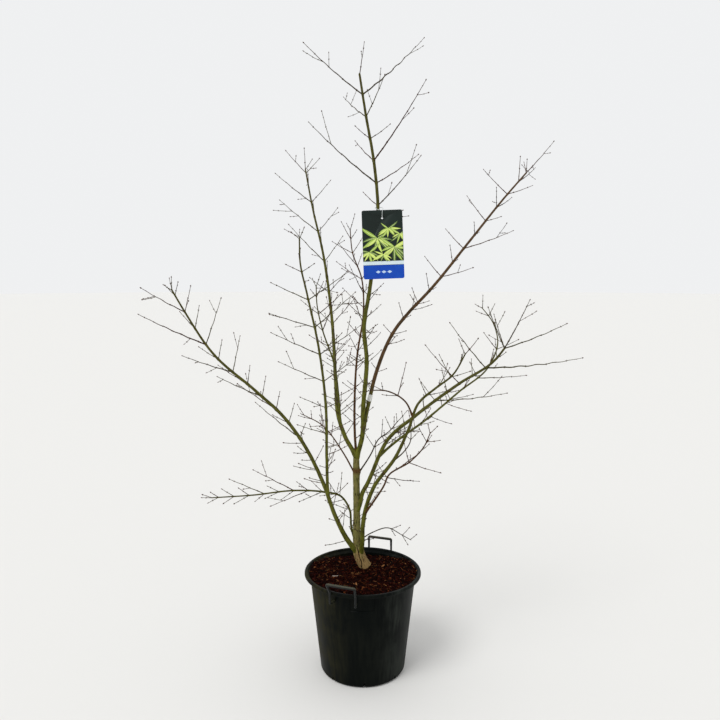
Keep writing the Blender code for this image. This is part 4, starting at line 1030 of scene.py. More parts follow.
def limb_radii(limb, route, marks):
    """Radii with a collar at the foot, longer on the left bough, and a ring at each pair of twigs."""
    first = route.length - limb.top_gap - limb.spacing * (len(limb.pairs) - 1)
    radii = []
    for mark in marks:
        radius = girth_at(limb, mark / route.length)
        radius *= 1.0 + COLLAR_SWELL * math.exp(-(mark / COLLAR_LENGTH) ** 2)
        if limb.name == "left_bough":
            radius *= 1.0 + LEFT_SWELL * math.exp(-(mark / LEFT_SWELL_LENGTH) ** 2)
        near = min(abs(mark - first - limb.spacing * index) for index in range(len(limb.pairs)))
        radii.append(radius * (1.0 + RING_SWELL * math.exp(-(near / RING_LENGTH) ** 2)))
    return radii


def limb_wood(limbs):
    wood = Gathered()
    for number, limb in enumerate(limbs):
        route = routes[limb.name]
        count = max(8, round(route.length / WOOD_STEP))
        marks = [route.length * step / count for step in range(count + 1)]
        path = [route.at(mark) for mark in marks]
        radii = limb_radii(limb, route, marks)
        radii[-1] *= 0.45
        sides = 20 if limb.base > STOUT_LIMB else 14
        add_wood(wood, path, radii, sides, limb.colour, bough_relief, 3.0 * number)
    return wood


boughs = [limb for limb in LIMBS if limb.bough]
for name, slot, limbs in (
        ("green_boughs", "green_bark", [limb for limb in boughs if limb.colour in (OLIVE, MOSS)]),
        ("red_boughs", "red_bark", [limb for limb in boughs if limb.colour in (RUSSET, WALNUT)]),
        ("slender_limbs", "twigs", [limb for limb in LIMBS if not limb.bough])):
    piece = limb_wood(limbs).piece(name, barks)
    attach(piece, "root")
    for limb in limbs:
        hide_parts(limb.name if limb.bough else limb.name + "_twigs")


# Plant tag. A printed PVC card, 157 x 265 x 1.2 mm with rounded corners, hung from the leader
# by a thin clear loop through a punched hole. Its front carries a generic print: pointed leaves
# on a dark ground, a white strip and a blue band with three pale lozenges. Its back is plain.
CARD_WIDTH = 0.157
CARD_HEIGHT = 0.265
CARD_THICKNESS = 0.0012
CARD_CORNER = 0.007
CARD_CENTRE = Vector((0.0780, 0.0050, 1.6120))
CARD_TILT = math.radians(-2.0)
CARD_KEEP_CLEAR = 0.007
HOLE_RADIUS = 0.0035
HOLE_BELOW_TOP = 0.0315
LOOP_RADIUS = 0.0010
LOOP_STEP = 0.0015
BAND_TOP = 0.053
STRIP_TOP = 0.068
LINE_HEIGHT = 0.0012
LOZENGE_STEP = 0.022
LOZENGE_HALF = (0.0095, 0.0055)
LOZENGE_HEIGHT = 0.027
INK = 0.00004
PRINT_MARGIN = 0.001
PRINT_BELOW_HOLE = 0.012


# Printed PVC: flat ink under a thin clear coat, with hairline scuffs and a little dust.
def printed_card(name, ink, worn):
    material, shader = new_finish(name, ink, 0.32, ior=1.53, Coat_Weight=0.10, Specular_IOR_Level=0.15)
    place = add_node(material, "TexCoord").outputs["Object"]
    scuffs_at = add_node(material, "Mapping", {"Vector": place, "Scale": (160.0, 160.0, 900.0),
                                               "Rotation": (0.0, 0.5, 0.0)})
    scuffs = add_node(material, "TexNoise", {"Vector": scuffs_at, "Scale": 1.0, "Detail": 3.0})
    cloud = add_node(material, "TexNoise", {"Vector": place, "Scale": 26.0, "Detail": 3.0})
    wear = add_node(material, "MapRange", {"Value": scuffs, "From Min": 0.62, "From Max": 0.75,
                                           "To Max": 0.35})
    tone = add_node(material, "Mix", {0: cloud, 6: ink, 7: worn}, data_type="RGBA")
    colour = add_node(material, "Mix", {0: wear, 6: tone, 7: worn}, data_type="RGBA")
    rough = add_node(material, "MapRange", {"Value": cloud, "To Min": 0.22, "To Max": 0.42})
    feed(shader, {"Base Color": colour, "Roughness": rough})
    return material


def card_outline(bottom, top):
    """The card's outline between two heights, its own corners rounded."""
    half = CARD_WIDTH / 2.0
    outline = []
    for corner, (sx, z) in enumerate(((1, top), (-1, top), (-1, bottom), (1, bottom))):
        if z in (0.0, CARD_HEIGHT):
            inward = CARD_CORNER if z == 0.0 else -CARD_CORNER
            outline += arc((sx * (half - CARD_CORNER), z + inward), CARD_CORNER, 90.0 * corner,
                           90.0 * corner + 90.0, 8)
        else:
            outline.append((sx * half, z))
    return outline


def card_slab(bm, outline, front, depth, finish):
    """A thin slab with the given outline, its front at the given layer."""
    face = bm.faces.new([bm.verts.new((x, front, z)) for x, z in outline])
    grown = bmesh.ops.extrude_face_region(bm, geom=[face])["geom"]
    back = [part for part in grown if isinstance(part, bmesh.types.BMVert)]
    bmesh.ops.translate(bm, verts=back, vec=(0.0, depth, 0.0))
    touched = {face for vert in face.verts for face in vert.link_faces}
    touched |= {part for part in grown if isinstance(part, bmesh.types.BMFace)}
    for part in touched:
        part.material_index = finish


def punch(piece):
    """Punches the loop's hole through a layer of the card."""
    bm = bmesh.new()
    lying = Matrix.Rotation(math.pi / 2.0, 4, "X")
    spot = Matrix.Translation((0.0, 0.0, CARD_HEIGHT - HOLE_BELOW_TOP)) @ lying
    bmesh.ops.create_cone(bm, cap_ends=True, segments=32, radius1=HOLE_RADIUS, radius2=HOLE_RADIUS,
                          depth=0.02, matrix=spot)
    cut_out(piece, bm)


def hang(piece):
    """Places a layer of the card where the card hangs."""
    turn = Matrix.Translation(CARD_CENTRE) @ Matrix.Rotation(CARD_TILT, 4, "Y")
    piece.data.transform(turn @ Matrix.Translation((0.0, 0.0, -CARD_HEIGHT / 2.0)))
    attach(piece, "root")
    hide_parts("tag_card")


front = -CARD_THICKNESS / 2.0
card = bmesh.new()
card_slab(card, card_outline(0.0, CARD_HEIGHT), front, CARD_THICKNESS, 0)
card_piece = add_piece("tag_card_body", card, [printed_card("white_pvc", "#d8ddd6", "#b9c0b6")])
punch(card_piece)
hang(card_piece)

ground = bmesh.new()
card_slab(ground, card_outline(STRIP_TOP, CARD_HEIGHT), front - INK, INK * 0.5, 0)
ground_ink = printed_card("dark_green_ink", "#0c1613", "#1b2925")
ground_piece = add_piece("tag_print_ground", ground, [ground_ink])
punch(ground_piece)
hang(ground_piece)


def strip(bottom, top):
    """The outline of a straight strip across the card."""
    half = CARD_WIDTH / 2.0
    return [(half, top), (-half, top), (-half, bottom), (half, bottom)]


bands = bmesh.new()
card_slab(bands, card_outline(0.0, BAND_TOP), front - INK, INK * 0.5, 0)
card_slab(bands, strip(BAND_TOP, STRIP_TOP), front - INK, INK * 0.5, 1)
card_slab(bands, strip(BAND_TOP, BAND_TOP + LINE_HEIGHT), front - 2.0 * INK, INK * 0.5, 2)
half_width, half_height = LOZENGE_HALF
for shift in (-LOZENGE_STEP, 0.0, LOZENGE_STEP):
    lozenge = [(shift + half_width, LOZENGE_HEIGHT), (shift, LOZENGE_HEIGHT + half_height),
               (shift - half_width, LOZENGE_HEIGHT), (shift, LOZENGE_HEIGHT - half_height)]
    card_slab(bands, lozenge, front - 2.0 * INK, INK * 0.5, 3)
band_inks = [printed_card("blue_ink", "#0530a0", "#0a50b4"),
             printed_card("white_ink", "#d7e6ea", "#c3d2d8"),
             printed_card("dark_line_ink", "#23352c", "#33463c"),
             printed_card("pale_blue_ink", "#a9c6e6", "#c6d8ea")]
hang(add_piece("tag_print_bands", bands, band_inks))


def leaf_print(bm, root, heading, length, width, layer, finish):
    """A long pointed leaf printed flat on the card, bent a little to one side."""
    left = []
    right = []
    bend = 0.22 * math.sin(heading * 3.7)
    for step in range(10):
        share = step / 9.0
        turn = heading + bend * share
        x = root[0] + length * share * math.cos(turn)
        z = root[1] + length * share * math.sin(turn)
        half = 0.5 * width * math.sin(math.pi * share ** 0.8) if step < 9 else 0.0
        left.append((x - half * math.sin(turn), z + half * math.cos(turn)))
        right.append((x + half * math.sin(turn), z - half * math.cos(turn)))
    outline = left + right[-2:0:-1]
    face = bm.faces.new([bm.verts.new((x, front - layer * INK, z)) for x, z in outline])
    face.material_index = finish


# Six tufts of leaves: place on the card, how many and how long.
TUFTS = ((-0.022, 0.158, 10, 0.086), (0.044, 0.122, 10, 0.074), (0.022, 0.194, 9, 0.052),
         (-0.054, 0.104, 9, 0.058), (0.066, 0.172, 8, 0.050), (0.000, 0.094, 8, 0.050))
VEIN = 3
leaves = bmesh.new()
rng = random.Random(21)
layer = 2.0
for x, z, count, reach in TUFTS:
    for index in range(count):
        heading = math.radians(-200.0 + 220.0 * index / (count - 1) + rng.uniform(-9.0, 9.0))
        length = reach * rng.uniform(0.65, 1.05)
        finish = rng.choices((0, 1, 2), (5, 4, 3))[0]
        leaf_print(leaves, (x, z), heading, length, length * 0.17, layer, finish)
        layer += 0.6
        leaf_print(leaves, (x, z), heading, length * 0.9, length * 0.022, layer, VEIN)
        layer += 0.6
edge = CARD_WIDTH / 2.0 - PRINT_MARGIN
top = CARD_HEIGHT - HOLE_BELOW_TOP - PRINT_BELOW_HOLE
for place, outward in (((edge, 0, 0), (1, 0, 0)), ((-edge, 0, 0), (-1, 0, 0)),
                       ((0, 0, STRIP_TOP + 0.0005), (0, 0, -1)), ((0, 0, top), (0, 0, 1))):
    everything = leaves.verts[:] + leaves.edges[:] + leaves.faces[:]
    bmesh.ops.bisect_plane(leaves, geom=everything, plane_co=place, plane_no=outward, clear_outer=True)
leaf_inks = [printed_card("leaf_ink_bright", "#bcd45a", "#d2e27a"),
             printed_card("leaf_ink_mid", "#8fae42", "#a5bf5a"),
             printed_card("leaf_ink_shade", "#4f6a2e", "#6a8440"),
             printed_card("leaf_ink_vein", "#dbe69a", "#e6edb4")]
hang(add_piece("tag_print_leaves", leaves, leaf_inks))


# Clear loop: a 2 mm extruded vinyl cord, milky where it bends.
def clear_vinyl():
    material, shader = new_finish("clear_vinyl", "#dfe6e4", 0.22, ior=1.5, Transmission_Weight=0.35)
    place = add_node(material, "TexCoord").outputs["Object"]
    haze = add_node(material, "TexNoise", {"Vector": place, "Scale": 180.0, "Detail": 2.0})
    colour = add_node(material, "Mix", {0: haze, 6: "#c6d0ce", 7: "#f2f5f4"}, data_type="RGBA")
    bump = add_node(material, "Bump", {"Height": haze, "Distance": 0.0001, "Strength": 0.4})
    feed(shader, {"Base Color": colour, "Normal": bump})
    return material


def loop_route(leader_route, leader):
    """The tag's loop: through the hole, over the card's top edge and round the leader."""
    tilt = Matrix.Rotation(CARD_TILT, 4, "Y")
    hole = CARD_CENTRE + tilt @ Vector((0.0, 0.0, CARD_HEIGHT / 2.0 - HOLE_BELOW_TOP))
    rest = hole + Vector((0.0, 0.0, HOLE_RADIUS - LOOP_RADIUS - SEAT * 1.6))
    edge = hole.z + HOLE_BELOW_TOP
    height = edge + 0.012
    distance = min(leader_route.marks, key=lambda mark: abs(leader_route.at(mark).z - height))
    stem = leader_route.at(distance)
    radius = girth_at(leader, distance / leader_route.length) + LOOP_RADIUS + SEAT * 2.0
    return [
        rest,
        rest + Vector((0.0, -0.0030, 0.0)),
        rest + Vector((0.0, -0.0048, 0.007)),
        Vector((rest.x + 0.001, CARD_CENTRE.y - 0.0040, edge - 0.003)),
        Vector((rest.x + 0.003, CARD_CENTRE.y, edge + 0.006)),
        Vector((stem.x + radius + 0.004, stem.y, height)),
        Vector((stem.x, stem.y + radius, height)),
        Vector((stem.x - radius - 0.004, stem.y - 0.002, height - 0.002)),
        Vector((stem.x + 0.001, stem.y - radius - 0.003, height - 0.010)),
        rest + Vector((-0.002, 0.0052, 0.012)),
        rest + Vector((0.0, 0.0030, 0.0)),
    ]


loop_points = loop_route(routes["leader"], LIMBS[0])
loop_curve = Route(loop_points, closed=True)
loop_marks = loop_curve.stretch(0.0, loop_curve.length, LOOP_STEP)[:-1]
fine_loop = [loop_curve.at(mark) for mark in loop_marks]
loop_piece = add_piece("clear_loop", tube(fine_loop, [LOOP_RADIUS] * len(fine_loop), 12, closed=True),
                       [clear_vinyl()])
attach(loop_piece, "root")
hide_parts("tag_loop")


# White tie. A strip of soft plastic tape, 23 mm wide, wound twice round the brown bough just
# above the fork, creased by hand, with a short free end that hangs behind the leader.
TIE_FROM = 0.108
TIE_TO = 0.131
TIE_TURNS = 2.0
TIE_COLUMNS = 96
TIE_ROWS = 8
TAPE_THICKNESS = 0.0003
TAPE_CLEARANCE = 0.0006
TAPE_OVER_BARK = 1.07
TAPE_BUILD = 0.0008
TAPE_CREASE = 0.00035
TAPE_WAVE = 0.0014
TAPE_FOLD = 0.0012
END_ROWS = 4


# Plastic tape: matt white polyethylene, greyed by weather along its creases.
def white_tape():
    material, shader = new_finish("white_tape", "#d9d9d2", 0.5, ior=1.51, Subsurface_Weight=0.05)
    place = add_node(material, "TexCoord").outputs["Object"]
    creases = add_node(material, "TexNoise", {"Vector": place, "Scale": 240.0, "Detail": 4.0})
    grime = add_node(material, "MapRange", {"Value": creases, "From Min": 0.5, "From Max": 0.75,
                                            "To Max": 0.6})
    colour = add_node(material, "Mix", {0: grime, 6: "#dcdcd6", 7: "#a9a698"}, data_type="RGBA")
    bump = add_node(material, "Bump", {"Height": creases, "Distance": 0.0006, "Strength": 0.7})
    feed(shader, {"Base Color": colour, "Normal": bump})
    return material


brown = next(limb for limb in LIMBS if limb.name == "brown_bough")
brown_route = routes["brown_bough"]
tape = Gathered()
for column in range(TIE_COLUMNS + 1):
    share = column / TIE_COLUMNS
    angle = 2.0 * math.pi * TIE_TURNS * share
    for row in range(TIE_ROWS + 1):
        distance = TIE_FROM + (TIE_TO - TIE_FROM) * row / TIE_ROWS + TAPE_WAVE * math.sin(angle * 0.5)
        normal, across = square_to(brown_route.heading(distance), Vector((0.0, 1.0, 0.0)))
        spot = Vector((math.cos(angle) * 1.6, math.sin(angle) * 1.6, distance * 130.0 + share * 2.0))
        slack = TAPE_CLEARANCE + TAPE_BUILD * share + TAPE_CREASE * noise.noise(spot)
        radius = girth_at(brown, distance / brown_route.length) * TAPE_OVER_BARK + slack
        tape.points.append(brown_route.at(distance) + spoke(normal, across, angle) * radius)
free_end = [Vector(point) for point in (
    (0.021, 0.058, 0.998), (0.010, 0.060, 0.996), (-0.002, 0.060, 0.989), (-0.012, 0.057, 0.981),
    (-0.019, 0.054, 0.974))]
for index, point in enumerate(free_end):
    for row in range(END_ROWS + 1):
        fold = TAPE_FOLD * math.sin(index * 1.9 + row)
        tape.points.append(point + Vector((0.001 * row, fold, -0.0065 + 0.0032 * row)))
start = 0
for columns, rows in ((TIE_COLUMNS, TIE_ROWS), (len(free_end) - 1, END_ROWS)):
    for column in range(columns):
        for row in range(rows):
            low = start + column * (rows + 1) + row
            tape.faces.append([low, low + rows + 1, low + rows + 2, low + 1])
            tape.finishes.append(0)
    start += (columns + 1) * (rows + 1)
tape_piece = tape.piece("tape_tie", [white_tape()])
thick = tape_piece.modifiers.new("thickness", "SOLIDIFY")
thick.thickness = TAPE_THICKNESS
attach(tape_piece, "root")
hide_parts("white_tie")


# Twigs. Each pair stands opposite, a right angle from the pair below. A twig is one season's
# wood, 1.5 to 5 mm thick, swollen where its buds sit, and bears short side spurs. Its skin is
# dull and a little corky, olive, grey-brown or reddish from twig to twig.
FORK_CLOSING = math.radians(8.0)
ANGLE_SCATTER = math.radians(6.0)
LENGTH_SCATTER = 0.06
TWIG_GIRTH = 0.0010
TWIG_GIRTH_PER_METRE = 0.0040
TWIG_TIP = 0.0007
SIDE_TWIG_CHANCE = 0.45
SIDE_TWIG_SHARE = 0.38
SIDE_TWIG_FORK = math.radians(42.0)
FAN_STEP = math.radians(137.5)
FAN_INNER = math.radians(24.0)
FAN_BELOW_TIP = 0.006
CLEARANCE = 0.0015
LONG_TWIG = 0.13
LOWEST_TWIG = RIM_TOP + 0.0575
BUD_SPACING = 0.040
BUD_SWELL = 0.30
SPUR_CHANCE = 0.42
OUTER_SPUR_CHANCE = 0.10
INNER_REACH = 0.27
INNER_TOP = 1.5
SKIN_SWELL = 1.2
TWIG_STEP = 0.0055
CROOK = 0.0055
CROOK_TURN = 95.0
SPUR_GIRTHS = (0.00085, 0.00060)
SHOOT_GIRTHS = (0.0011, 0.0008)
SPUR_FORK = math.radians(50.0)
SPUR_SPACE = 0.004
SPUR_ROOM = 0.050
SHORTEST_SPUR = 0.018
LONGEST_SPUR = 0.060
SIDE_BUD_LENGTH = 0.0048
SIDE_BUD_GIRTH = 0.00120
END_BUD_LENGTHS = (0.0062, 0.0078)
END_BUD_GIRTH = 0.00175
SHOOT_COUNT = 180
SHOOT_LENGTHS = (0.030, 0.110)


class Crowd:
    """Every limb and twig placed so far, as straight pieces with a radius."""

    def __init__(self):
        self.starts = []
        self.ends = []
        self.radii = []
        self.family = []

    def add(self, points, radii, family):
        for index in range(len(points) - 1):
            self.starts.append(tuple(points[index]))
            self.ends.append(tuple(points[index + 1]))
            self.radii.append(max(radii[index], radii[index + 1]))
            self.family.append(family)

    def is_free(self, points, radii, ignored):
        """True when a new twig keeps clear of all but its own family."""
        keep = ~np.isin(np.array(self.family), ignored)
        starts = np.array(self.starts)[keep]
        along = np.array(self.ends)[keep] - starts
        girths = np.array(self.radii)[keep]
        squares = (along * along).sum(axis=1)
        for index in range(len(points) - 1):
            start = np.array(points[index])
            step = np.array(points[index + 1]) - start
            away = start - starts
            step_square = float(step @ step)
            dots = along @ step
            offset = away @ step
            reach = (along * away).sum(axis=1)
            spread = step_square * squares - dots * dots
            first = np.clip((dots * reach - offset * squares) / np.maximum(spread, 1e-12), 0.0, 1.0)
            second = np.clip((dots * first + reach) / squares, 0.0, 1.0)
            first = np.clip((dots * second - offset) / step_square, 0.0, 1.0)
            gaps = np.linalg.norm(away + first[:, None] * step - second[:, None] * along, axis=1)
            if (gaps < girths + radii[index] + CLEARANCE).any():
                return False
        return True


def twig_path(root, direction, length, bends, curl):
    """A twig that curls a little towards the light, as points and radii."""
    final = (direction + Vector((0.0, 0.0, curl))).normalized()
    middle = root + direction * length * 0.5
    end = middle + final * length * 0.5
    girth = TWIG_GIRTH + TWIG_GIRTH_PER_METRE * length
    points = []
    radii = []
    for index in range(bends + 1):
        share = index / bends
        points.append(root.lerp(middle, share).lerp(middle.lerp(end, share), share))
        radii.append(girth + (TWIG_TIP - girth) * share)
    return points, radii


def pair_frame(heading, turn, lean):
    """The line a pair opens about, and the way its left twig leans from it."""
    up = Vector((0.0, 0.0, 1.0))
    axis = (heading * (1.0 - lean) + up * lean).normalized()
    left = axis.cross(Vector((0.0, 1.0, 0.0))).normalized()
    return axis, Quaternion(axis, turn) @ left


def grow(limb, route, crowd, families, rng):
    """Twigs of one limb as (points, radii, family), skipping those that would touch."""
    stem_family = families[limb.name]
    twigs = []

    def place(root, direction, length, ignored):
        points, radii = twig_path(root, direction, length, 3 if length > LONG_TWIG else 2, limb.curl)
        low = min(point.z for point in points)
        if low < LOWEST_TWIG or not crowd.is_free(points, radii, ignored):
            return False
        family = len(families)
        families[limb.name + str(family)] = family
        crowd.add(points, radii, family)
        twigs.append((points, radii, family))
        if length > LONG_TWIG and rng.random() < SIDE_TWIG_CHANCE:
            forked = points[-2]
            ahead = (points[-1] - points[-2]).normalized()
            spin = Quaternion(ahead, rng.uniform(0.0, 2.0 * math.pi))
            away = spin @ ahead.orthogonal().normalized()
            lean = ahead * math.cos(SIDE_TWIG_FORK) + away * math.sin(SIDE_TWIG_FORK)
            side_points, side_radii = twig_path(forked, lean, length * SIDE_TWIG_SHARE, 2, limb.curl)
            side_radii[0] = min(side_radii[0], radii[-2] * 0.8)
            if crowd.is_free(side_points, side_radii, [family, stem_family]):
                crowd.add(side_points, side_radii, family)
                twigs.append((side_points, side_radii, family))
        return True

    first = route.length - limb.top_gap - limb.spacing * (len(limb.pairs) - 1)
    for index, lengths in enumerate(limb.pairs):
        distance = first + limb.spacing * index
        share = distance / route.length
        turn = limb.turn
        if index % 2:
            turn -= math.copysign(math.pi / 2.0, limb.turn)
        turn += rng.uniform(-ANGLE_SCATTER, ANGLE_SCATTER)
        axis, outward = pair_frame(route.heading(distance), turn, limb.lean)
        opening = limb.fork + FORK_CLOSING * (0.5 - share)
        root = route.at(distance)
        before = len(families)
        for side, length in zip((1.0, -1.0), lengths):
            fork = opening + rng.uniform(-ANGLE_SCATTER, ANGLE_SCATTER)
            direction = axis * math.cos(fork) + outward * side * math.sin(fork)
            real_length = 0.01 * length * (1.0 + rng.uniform(-LENGTH_SCATTER, LENGTH_SCATTER))
            place(root, direction, real_length, [stem_family] + list(range(before, len(families))))
    tip = route.at(route.length - FAN_BELOW_TIP)
    before = len(families)
    for index, length in enumerate(limb.fan):
        spin = limb.turn + math.pi + FAN_STEP * index
        axis, outward = pair_frame(route.heading(route.length), spin, limb.lean)
        fork = FAN_INNER + (limb.fork - FAN_INNER) * index / max(1, len(limb.fan) - 1)
        direction = axis * math.cos(fork) + outward * math.sin(fork)
        place(tip, direction, 0.01 * length, [stem_family] + list(range(before, len(families))))
    return twigs


def stem_line(limb, route):
    marks = route.stretch(0.0, route.length, 0.04)
    return [route.at(mark) for mark in marks], [girth_at(limb, mark / route.length) for mark in marks]


def card_lines():
    """Upright lines across the card, so that no twig grows through it."""
    lines = []
    columns = 13
    foot = CARD_CENTRE.z - CARD_HEIGHT / 2.0
    for column in range(columns):
        x = CARD_CENTRE.x + CARD_WIDTH * (column / (columns - 1) - 0.5)
        lines.append([Vector((x, CARD_CENTRE.y, foot)), Vector((x, CARD_CENTRE.y, foot + CARD_HEIGHT))])
    return lines


# Twig skin: dull and a little corky, with wrinkles drawn about 1.4 mm apart, coarser than the
# real ones so that they show.
def twig_skin(name, shade, pale):
    material, shader = new_finish(name, shade, 0.68, Specular_IOR_Level=0.12)
    place = add_node(material, "TexCoord").outputs["Object"]
    wrinkles = add_node(material, "TexNoise", {"Vector": place, "Scale": 700.0, "Detail": 3.0})
    worn = add_node(material, "MapRange", {"Value": wrinkles, "From Min": 0.5, "From Max": 0.75})
    colour = add_node(material, "Mix", {0: worn, 6: shade, 7: pale}, data_type="RGBA")
    bump = add_node(material, "Bump", {"Height": wrinkles, "Distance": 0.0003, "Strength": 0.7})
    feed(shader, {"Base Color": colour, "Normal": bump})
    return material


# Bud scales: hard, glossy and dark red-brown, tightly overlapped.
def bud_scales(name, shade):
    material, shader = new_finish(name, shade, 0.38, Specular_IOR_Level=0.25)
    place = add_node(material, "TexCoord").outputs["Object"]
    scales = add_node(material, "TexNoise", {"Vector": place, "Scale": 900.0, "Detail": 2.0})
    colour = add_node(material, "Mix", {0: scales, 6: shade, 7: "#5e3a28"}, data_type="RGBA")
    feed(shader, {"Base Color": colour})
    return material


class Spray:
    """A twig's curve, for laying fine wood, buds and spurs along it."""

    def __init__(self, points):
        step = 1.0 / (len(points) - 1)
        self.root = points[0]
        self.end = points[-1]
        near = (1.0 - step) ** 2 * self.root + step ** 2 * self.end
        self.middle = (points[1] - near) / (2.0 * step * (1.0 - step))
        self.length = sum((b - a).length for a, b in zip(points, points[1:]))
        self.phase = 200.0 * self.root.x + 90.0 * self.end.z
        self.across = (self.end - self.root).orthogonal().normalized()

    def at(self, share):
        point = self.root.lerp(self.middle, share).lerp(self.middle.lerp(self.end, share), share)
        wave = math.sin(self.phase + 0.7 + share * self.length * CROOK_TURN) * math.sin(math.pi * share)
        return point + self.across * (CROOK * self.length * wave)

    def heading(self, share):
        return (self.at(min(1.0, share + 0.03)) - self.at(max(0.0, share - 0.03))).normalized()

    def bud_places(self):
        count = max(1, round(self.length / BUD_SPACING))
        return [(index + 0.8) / (count + 0.45) for index in range(count)]


def lay_twig(wood, spray, base, tip, sides, finish):
    """Fine wood along a twig, swollen at each bud place."""
    count = max(4, round(spray.length / TWIG_STEP))
    places = spray.bud_places()
    points = []
    normal = spray.across
    for index in range(count + 1):
        share = index / count
        along = spray.heading(share)
        normal, across = square_to(along, normal)
        near = min(abs(share - place) for place in places) * spray.length
        radius = (base + (tip - base) * share) * (1.0 + BUD_SWELL * math.exp(-(near / 0.0022) ** 2))
        radius *= 1.0 + BUD_SWELL * math.exp(-(share * spray.length / 0.004) ** 2)
        centre = spray.at(share)
        for side in range(sides):
            angle = 2.0 * math.pi * side / sides
            points.append(centre + spoke(normal, across, angle) * radius)
    end = [count * sides + side for side in range(sides)]
    wood.add(points, sleeve(sides, count + 1) + [end], finish)


def lay_bud(buds, root, direction, length, girth, finish):
    """One pointed bud, widest below its middle."""
    normal = direction.orthogonal().normalized()
    across = direction.cross(normal)
    points = []
    for share, width in ((0.0, 0.62), (0.38, 1.0), (0.72, 0.62)):
        for side in range(5):
            angle = 2.0 * math.pi * side / 5.0
            outward = spoke(normal, across, angle)
            points.append(root + direction * length * share + outward * girth * width)
    points.append(root + direction * length)
    point = [[10 + side, 10 + (side + 1) % 5, 15] for side in range(5)]
    buds.add(points, sleeve(5, 3) + point, finish)


def dress_twig(wood, buds, spray, base, tip, finish, rng, spurs=None):
    """Lays one twig with its buds; spurs takes a side spur and says whether it fits."""
    lay_twig(wood, spray, base * SKIN_SWELL, tip * SKIN_SWELL, 6 if spurs else 5, finish)
    turn = rng.uniform(0.0, math.pi)
    bud = rng.randrange(2)
    for place in spray.bud_places():
        along = spray.heading(place)
        outward = Quaternion(along, turn) @ along.orthogonal().normalized()
        turn += math.pi / 2.0
        spot = spray.at(place)
        room = spray.length * (1.0 - place * 0.75)
        for side in (outward, -outward):
            inner = spot.xy.length < INNER_REACH and spot.z < INNER_TOP
            chance = SPUR_CHANCE if inner else OUTER_SPUR_CHANCE
            if spurs and room > SPUR_ROOM and rng.random() < chance:
                length = min(LONGEST_SPUR, 0.40 * room) * rng.uniform(0.55, 1.0)
                fork = SPUR_FORK + rng.uniform(-ANGLE_SCATTER, ANGLE_SCATTER)
                direction = along * math.cos(fork) + side * math.sin(fork)
                if length > SHORTEST_SPUR and spurs(spot, direction, length):
                    continue
            radius = base + (tip - base) * place
            lean = (along * 0.80 + side * 0.60).normalized()
            lay_bud(buds, spot + side * radius * 0.7, lean, SIDE_BUD_LENGTH, SIDE_BUD_GIRTH, bud)
    ahead = spray.heading(1.0)
    end = spray.at(1.0)
    lay_bud(buds, end - ahead * 0.0005, ahead, rng.uniform(*END_BUD_LENGTHS), END_BUD_GIRTH, bud)
    beside = Quaternion(ahead, turn) @ ahead.orthogonal().normalized()
    for side in (beside, -beside):
        lean = (ahead * 0.9 + side * 0.44).normalized()
        lay_bud(buds, end - ahead * 0.0012 + side * 0.0006, lean, 0.0046, 0.0011, bud)


crowd = Crowd()
families = {"trunk": 0}
crowd.add([Vector((x, y, height)) for height, x, y, radius in TRUNK], [row[3] for row in TRUNK], 0)
for limb in LIMBS:
    families[limb.name] = len(families)
    crowd.add(*stem_line(limb, routes[limb.name]), families[limb.name])
obstacle = families["obstacle"] = len(families)
for line in card_lines():
    crowd.add(line, [CARD_KEEP_CLEAR] * 2, obstacle)
loop_marks = loop_curve.stretch(0.0, loop_curve.length, 2.0 * LOOP_STEP)[:-1]
loop_path = [loop_curve.at(mark) for mark in loop_marks]
crowd.add(loop_path, [LOOP_RADIUS] * len(loop_path), obstacle)
grown = [grow(limb, routes[limb.name], crowd, families, random.Random(100 + number))
         for number, limb in enumerate(LIMBS)]

skins = [twig_skin("olive_twig_skin", "#37320f", "#565026"),
         twig_skin("russet_twig_skin", "#371e12", "#563624"),
         twig_skin("umber_twig_skin", "#271d14", "#453628"),
         twig_skin("chestnut_twig_skin", "#3f2815", "#60452d"),
         twig_skin("grey_twig_skin", "#3f382a", "#5c5441")]
scales = [bud_scales("dark_bud_scales", "#1b100d"), bud_scales("brown_bud_scales", "#2c1a13")]
twig_wood = Gathered()
spur_wood = Gathered()
bud_heap = Gathered()
rng = random.Random(5)
for limb, twigs in zip(LIMBS, grown):
    low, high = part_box(limb.name + "_twigs")
    shades = (1, 2, 3) if limb.colour in (RUSSET, WALNUT) else (0, 1, 4)

    def add_spur(root, direction, length):
        points, radii = twig_path(root, direction, length, 2, limb.curl)
        out = [any(point[k] < low[k] - SPUR_SPACE or point[k] > high[k] + SPUR_SPACE for k in range(3))
               for point in points]
        if any(out) or not crowd.is_free(points, radii, [family, families[limb.name]]):
            return False
        crowd.add(points, radii, family)
        dress_twig(spur_wood, bud_heap, Spray(points), *SPUR_GIRTHS, rng.choice(shades), rng)
        return True

    for points, radii, family in twigs:
        shade = rng.choice(shades)
        dress_twig(twig_wood, bud_heap, Spray(points), radii[0], radii[-1], shade, rng, add_spur)

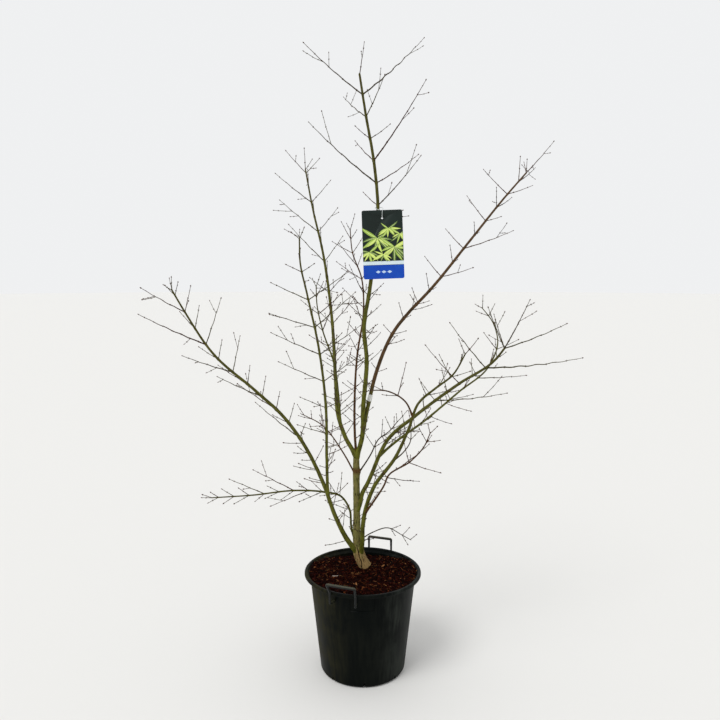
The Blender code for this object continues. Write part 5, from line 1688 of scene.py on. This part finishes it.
# Thin shoots on the boughs' lower halves, 30 to 110 mm long, wherever one has room.
for index in range(SHOOT_COUNT):
    limb = rng.choice(boughs)
    route = routes[limb.name]
    mark = route.length * rng.uniform(0.06, 0.42)
    heading = route.heading(mark)
    around = Quaternion(heading, rng.uniform(0.0, 2.0 * math.pi)) @ heading.orthogonal().normalized()
    direction = (heading * 0.35 + around * 0.9 + Vector((0.0, 0.0, 0.12))).normalized()
    points, radii = twig_path(route.at(mark), direction, rng.uniform(*SHOOT_LENGTHS), 2, 0.2)
    family = families[limb.name]
    if points[-1].z > LOWEST_TWIG and crowd.is_free(points, radii, [family, 0]):
        crowd.add(points, radii, family)
        dress_twig(spur_wood, bud_heap, Spray(points), *SHOOT_GIRTHS, rng.randrange(len(skins)), rng)

for name, heap, finishes in (("twigs", twig_wood, skins), ("side_spurs", spur_wood, skins),
                             ("buds", bud_heap, scales)):
    piece = heap.piece(name, finishes)
    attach(piece, "root")
    for limb in LIMBS:
        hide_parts(limb.name + "_twigs")


# Stage: a pale matt studio floor, one very soft key light from the upper left, and a bright
# even surround that fills the shadows.
FLOOR_DROP = 0.0005
floor_mesh = bmesh.new()
bmesh.ops.create_circle(floor_mesh, cap_ends=True, segments=96, radius=60.0)
floor = add_piece("studio_floor", floor_mesh, [new_finish("matt_floor", "#dad9d6", 0.9)[0]])
floor.location = (0.0, 0.0, -FLOOR_DROP)
key = bpy.data.objects.new("key_light", bpy.data.lights.new("key_light", "SUN"))
key.data.energy = 1.5
key.data.angle = math.radians(28.0)
key.rotation_euler = Vector((0.50, 0.55, -0.95)).to_track_quat("-Z", "Y").to_euler()
bpy.context.scene.collection.objects.link(key)
world = bpy.data.worlds.new("studio_surround")
world.use_nodes = True
feed(world.node_tree.nodes["Background"], {"Color": "#f6f7f8", "Strength": 0.94})
bpy.context.scene.world = world
bpy.context.scene.view_settings.view_transform = "Standard"

# Camera: level, 1.49 m up and 2.66 m in front of the pot, shifted down to take in the whole tree.
camera = bpy.data.objects.new("camera", bpy.data.cameras.new("camera"))
camera.data.sensor_width = 36.0
camera.data.lens = 34.59
camera.data.shift_y = -0.118
camera.data.dof.use_dof = False
camera.location = (-0.0106, -2.660, 1.494)
camera.rotation_euler = (math.pi / 2.0, 0.0, 0.0)
bpy.context.scene.collection.objects.link(camera)
bpy.context.scene.camera = camera
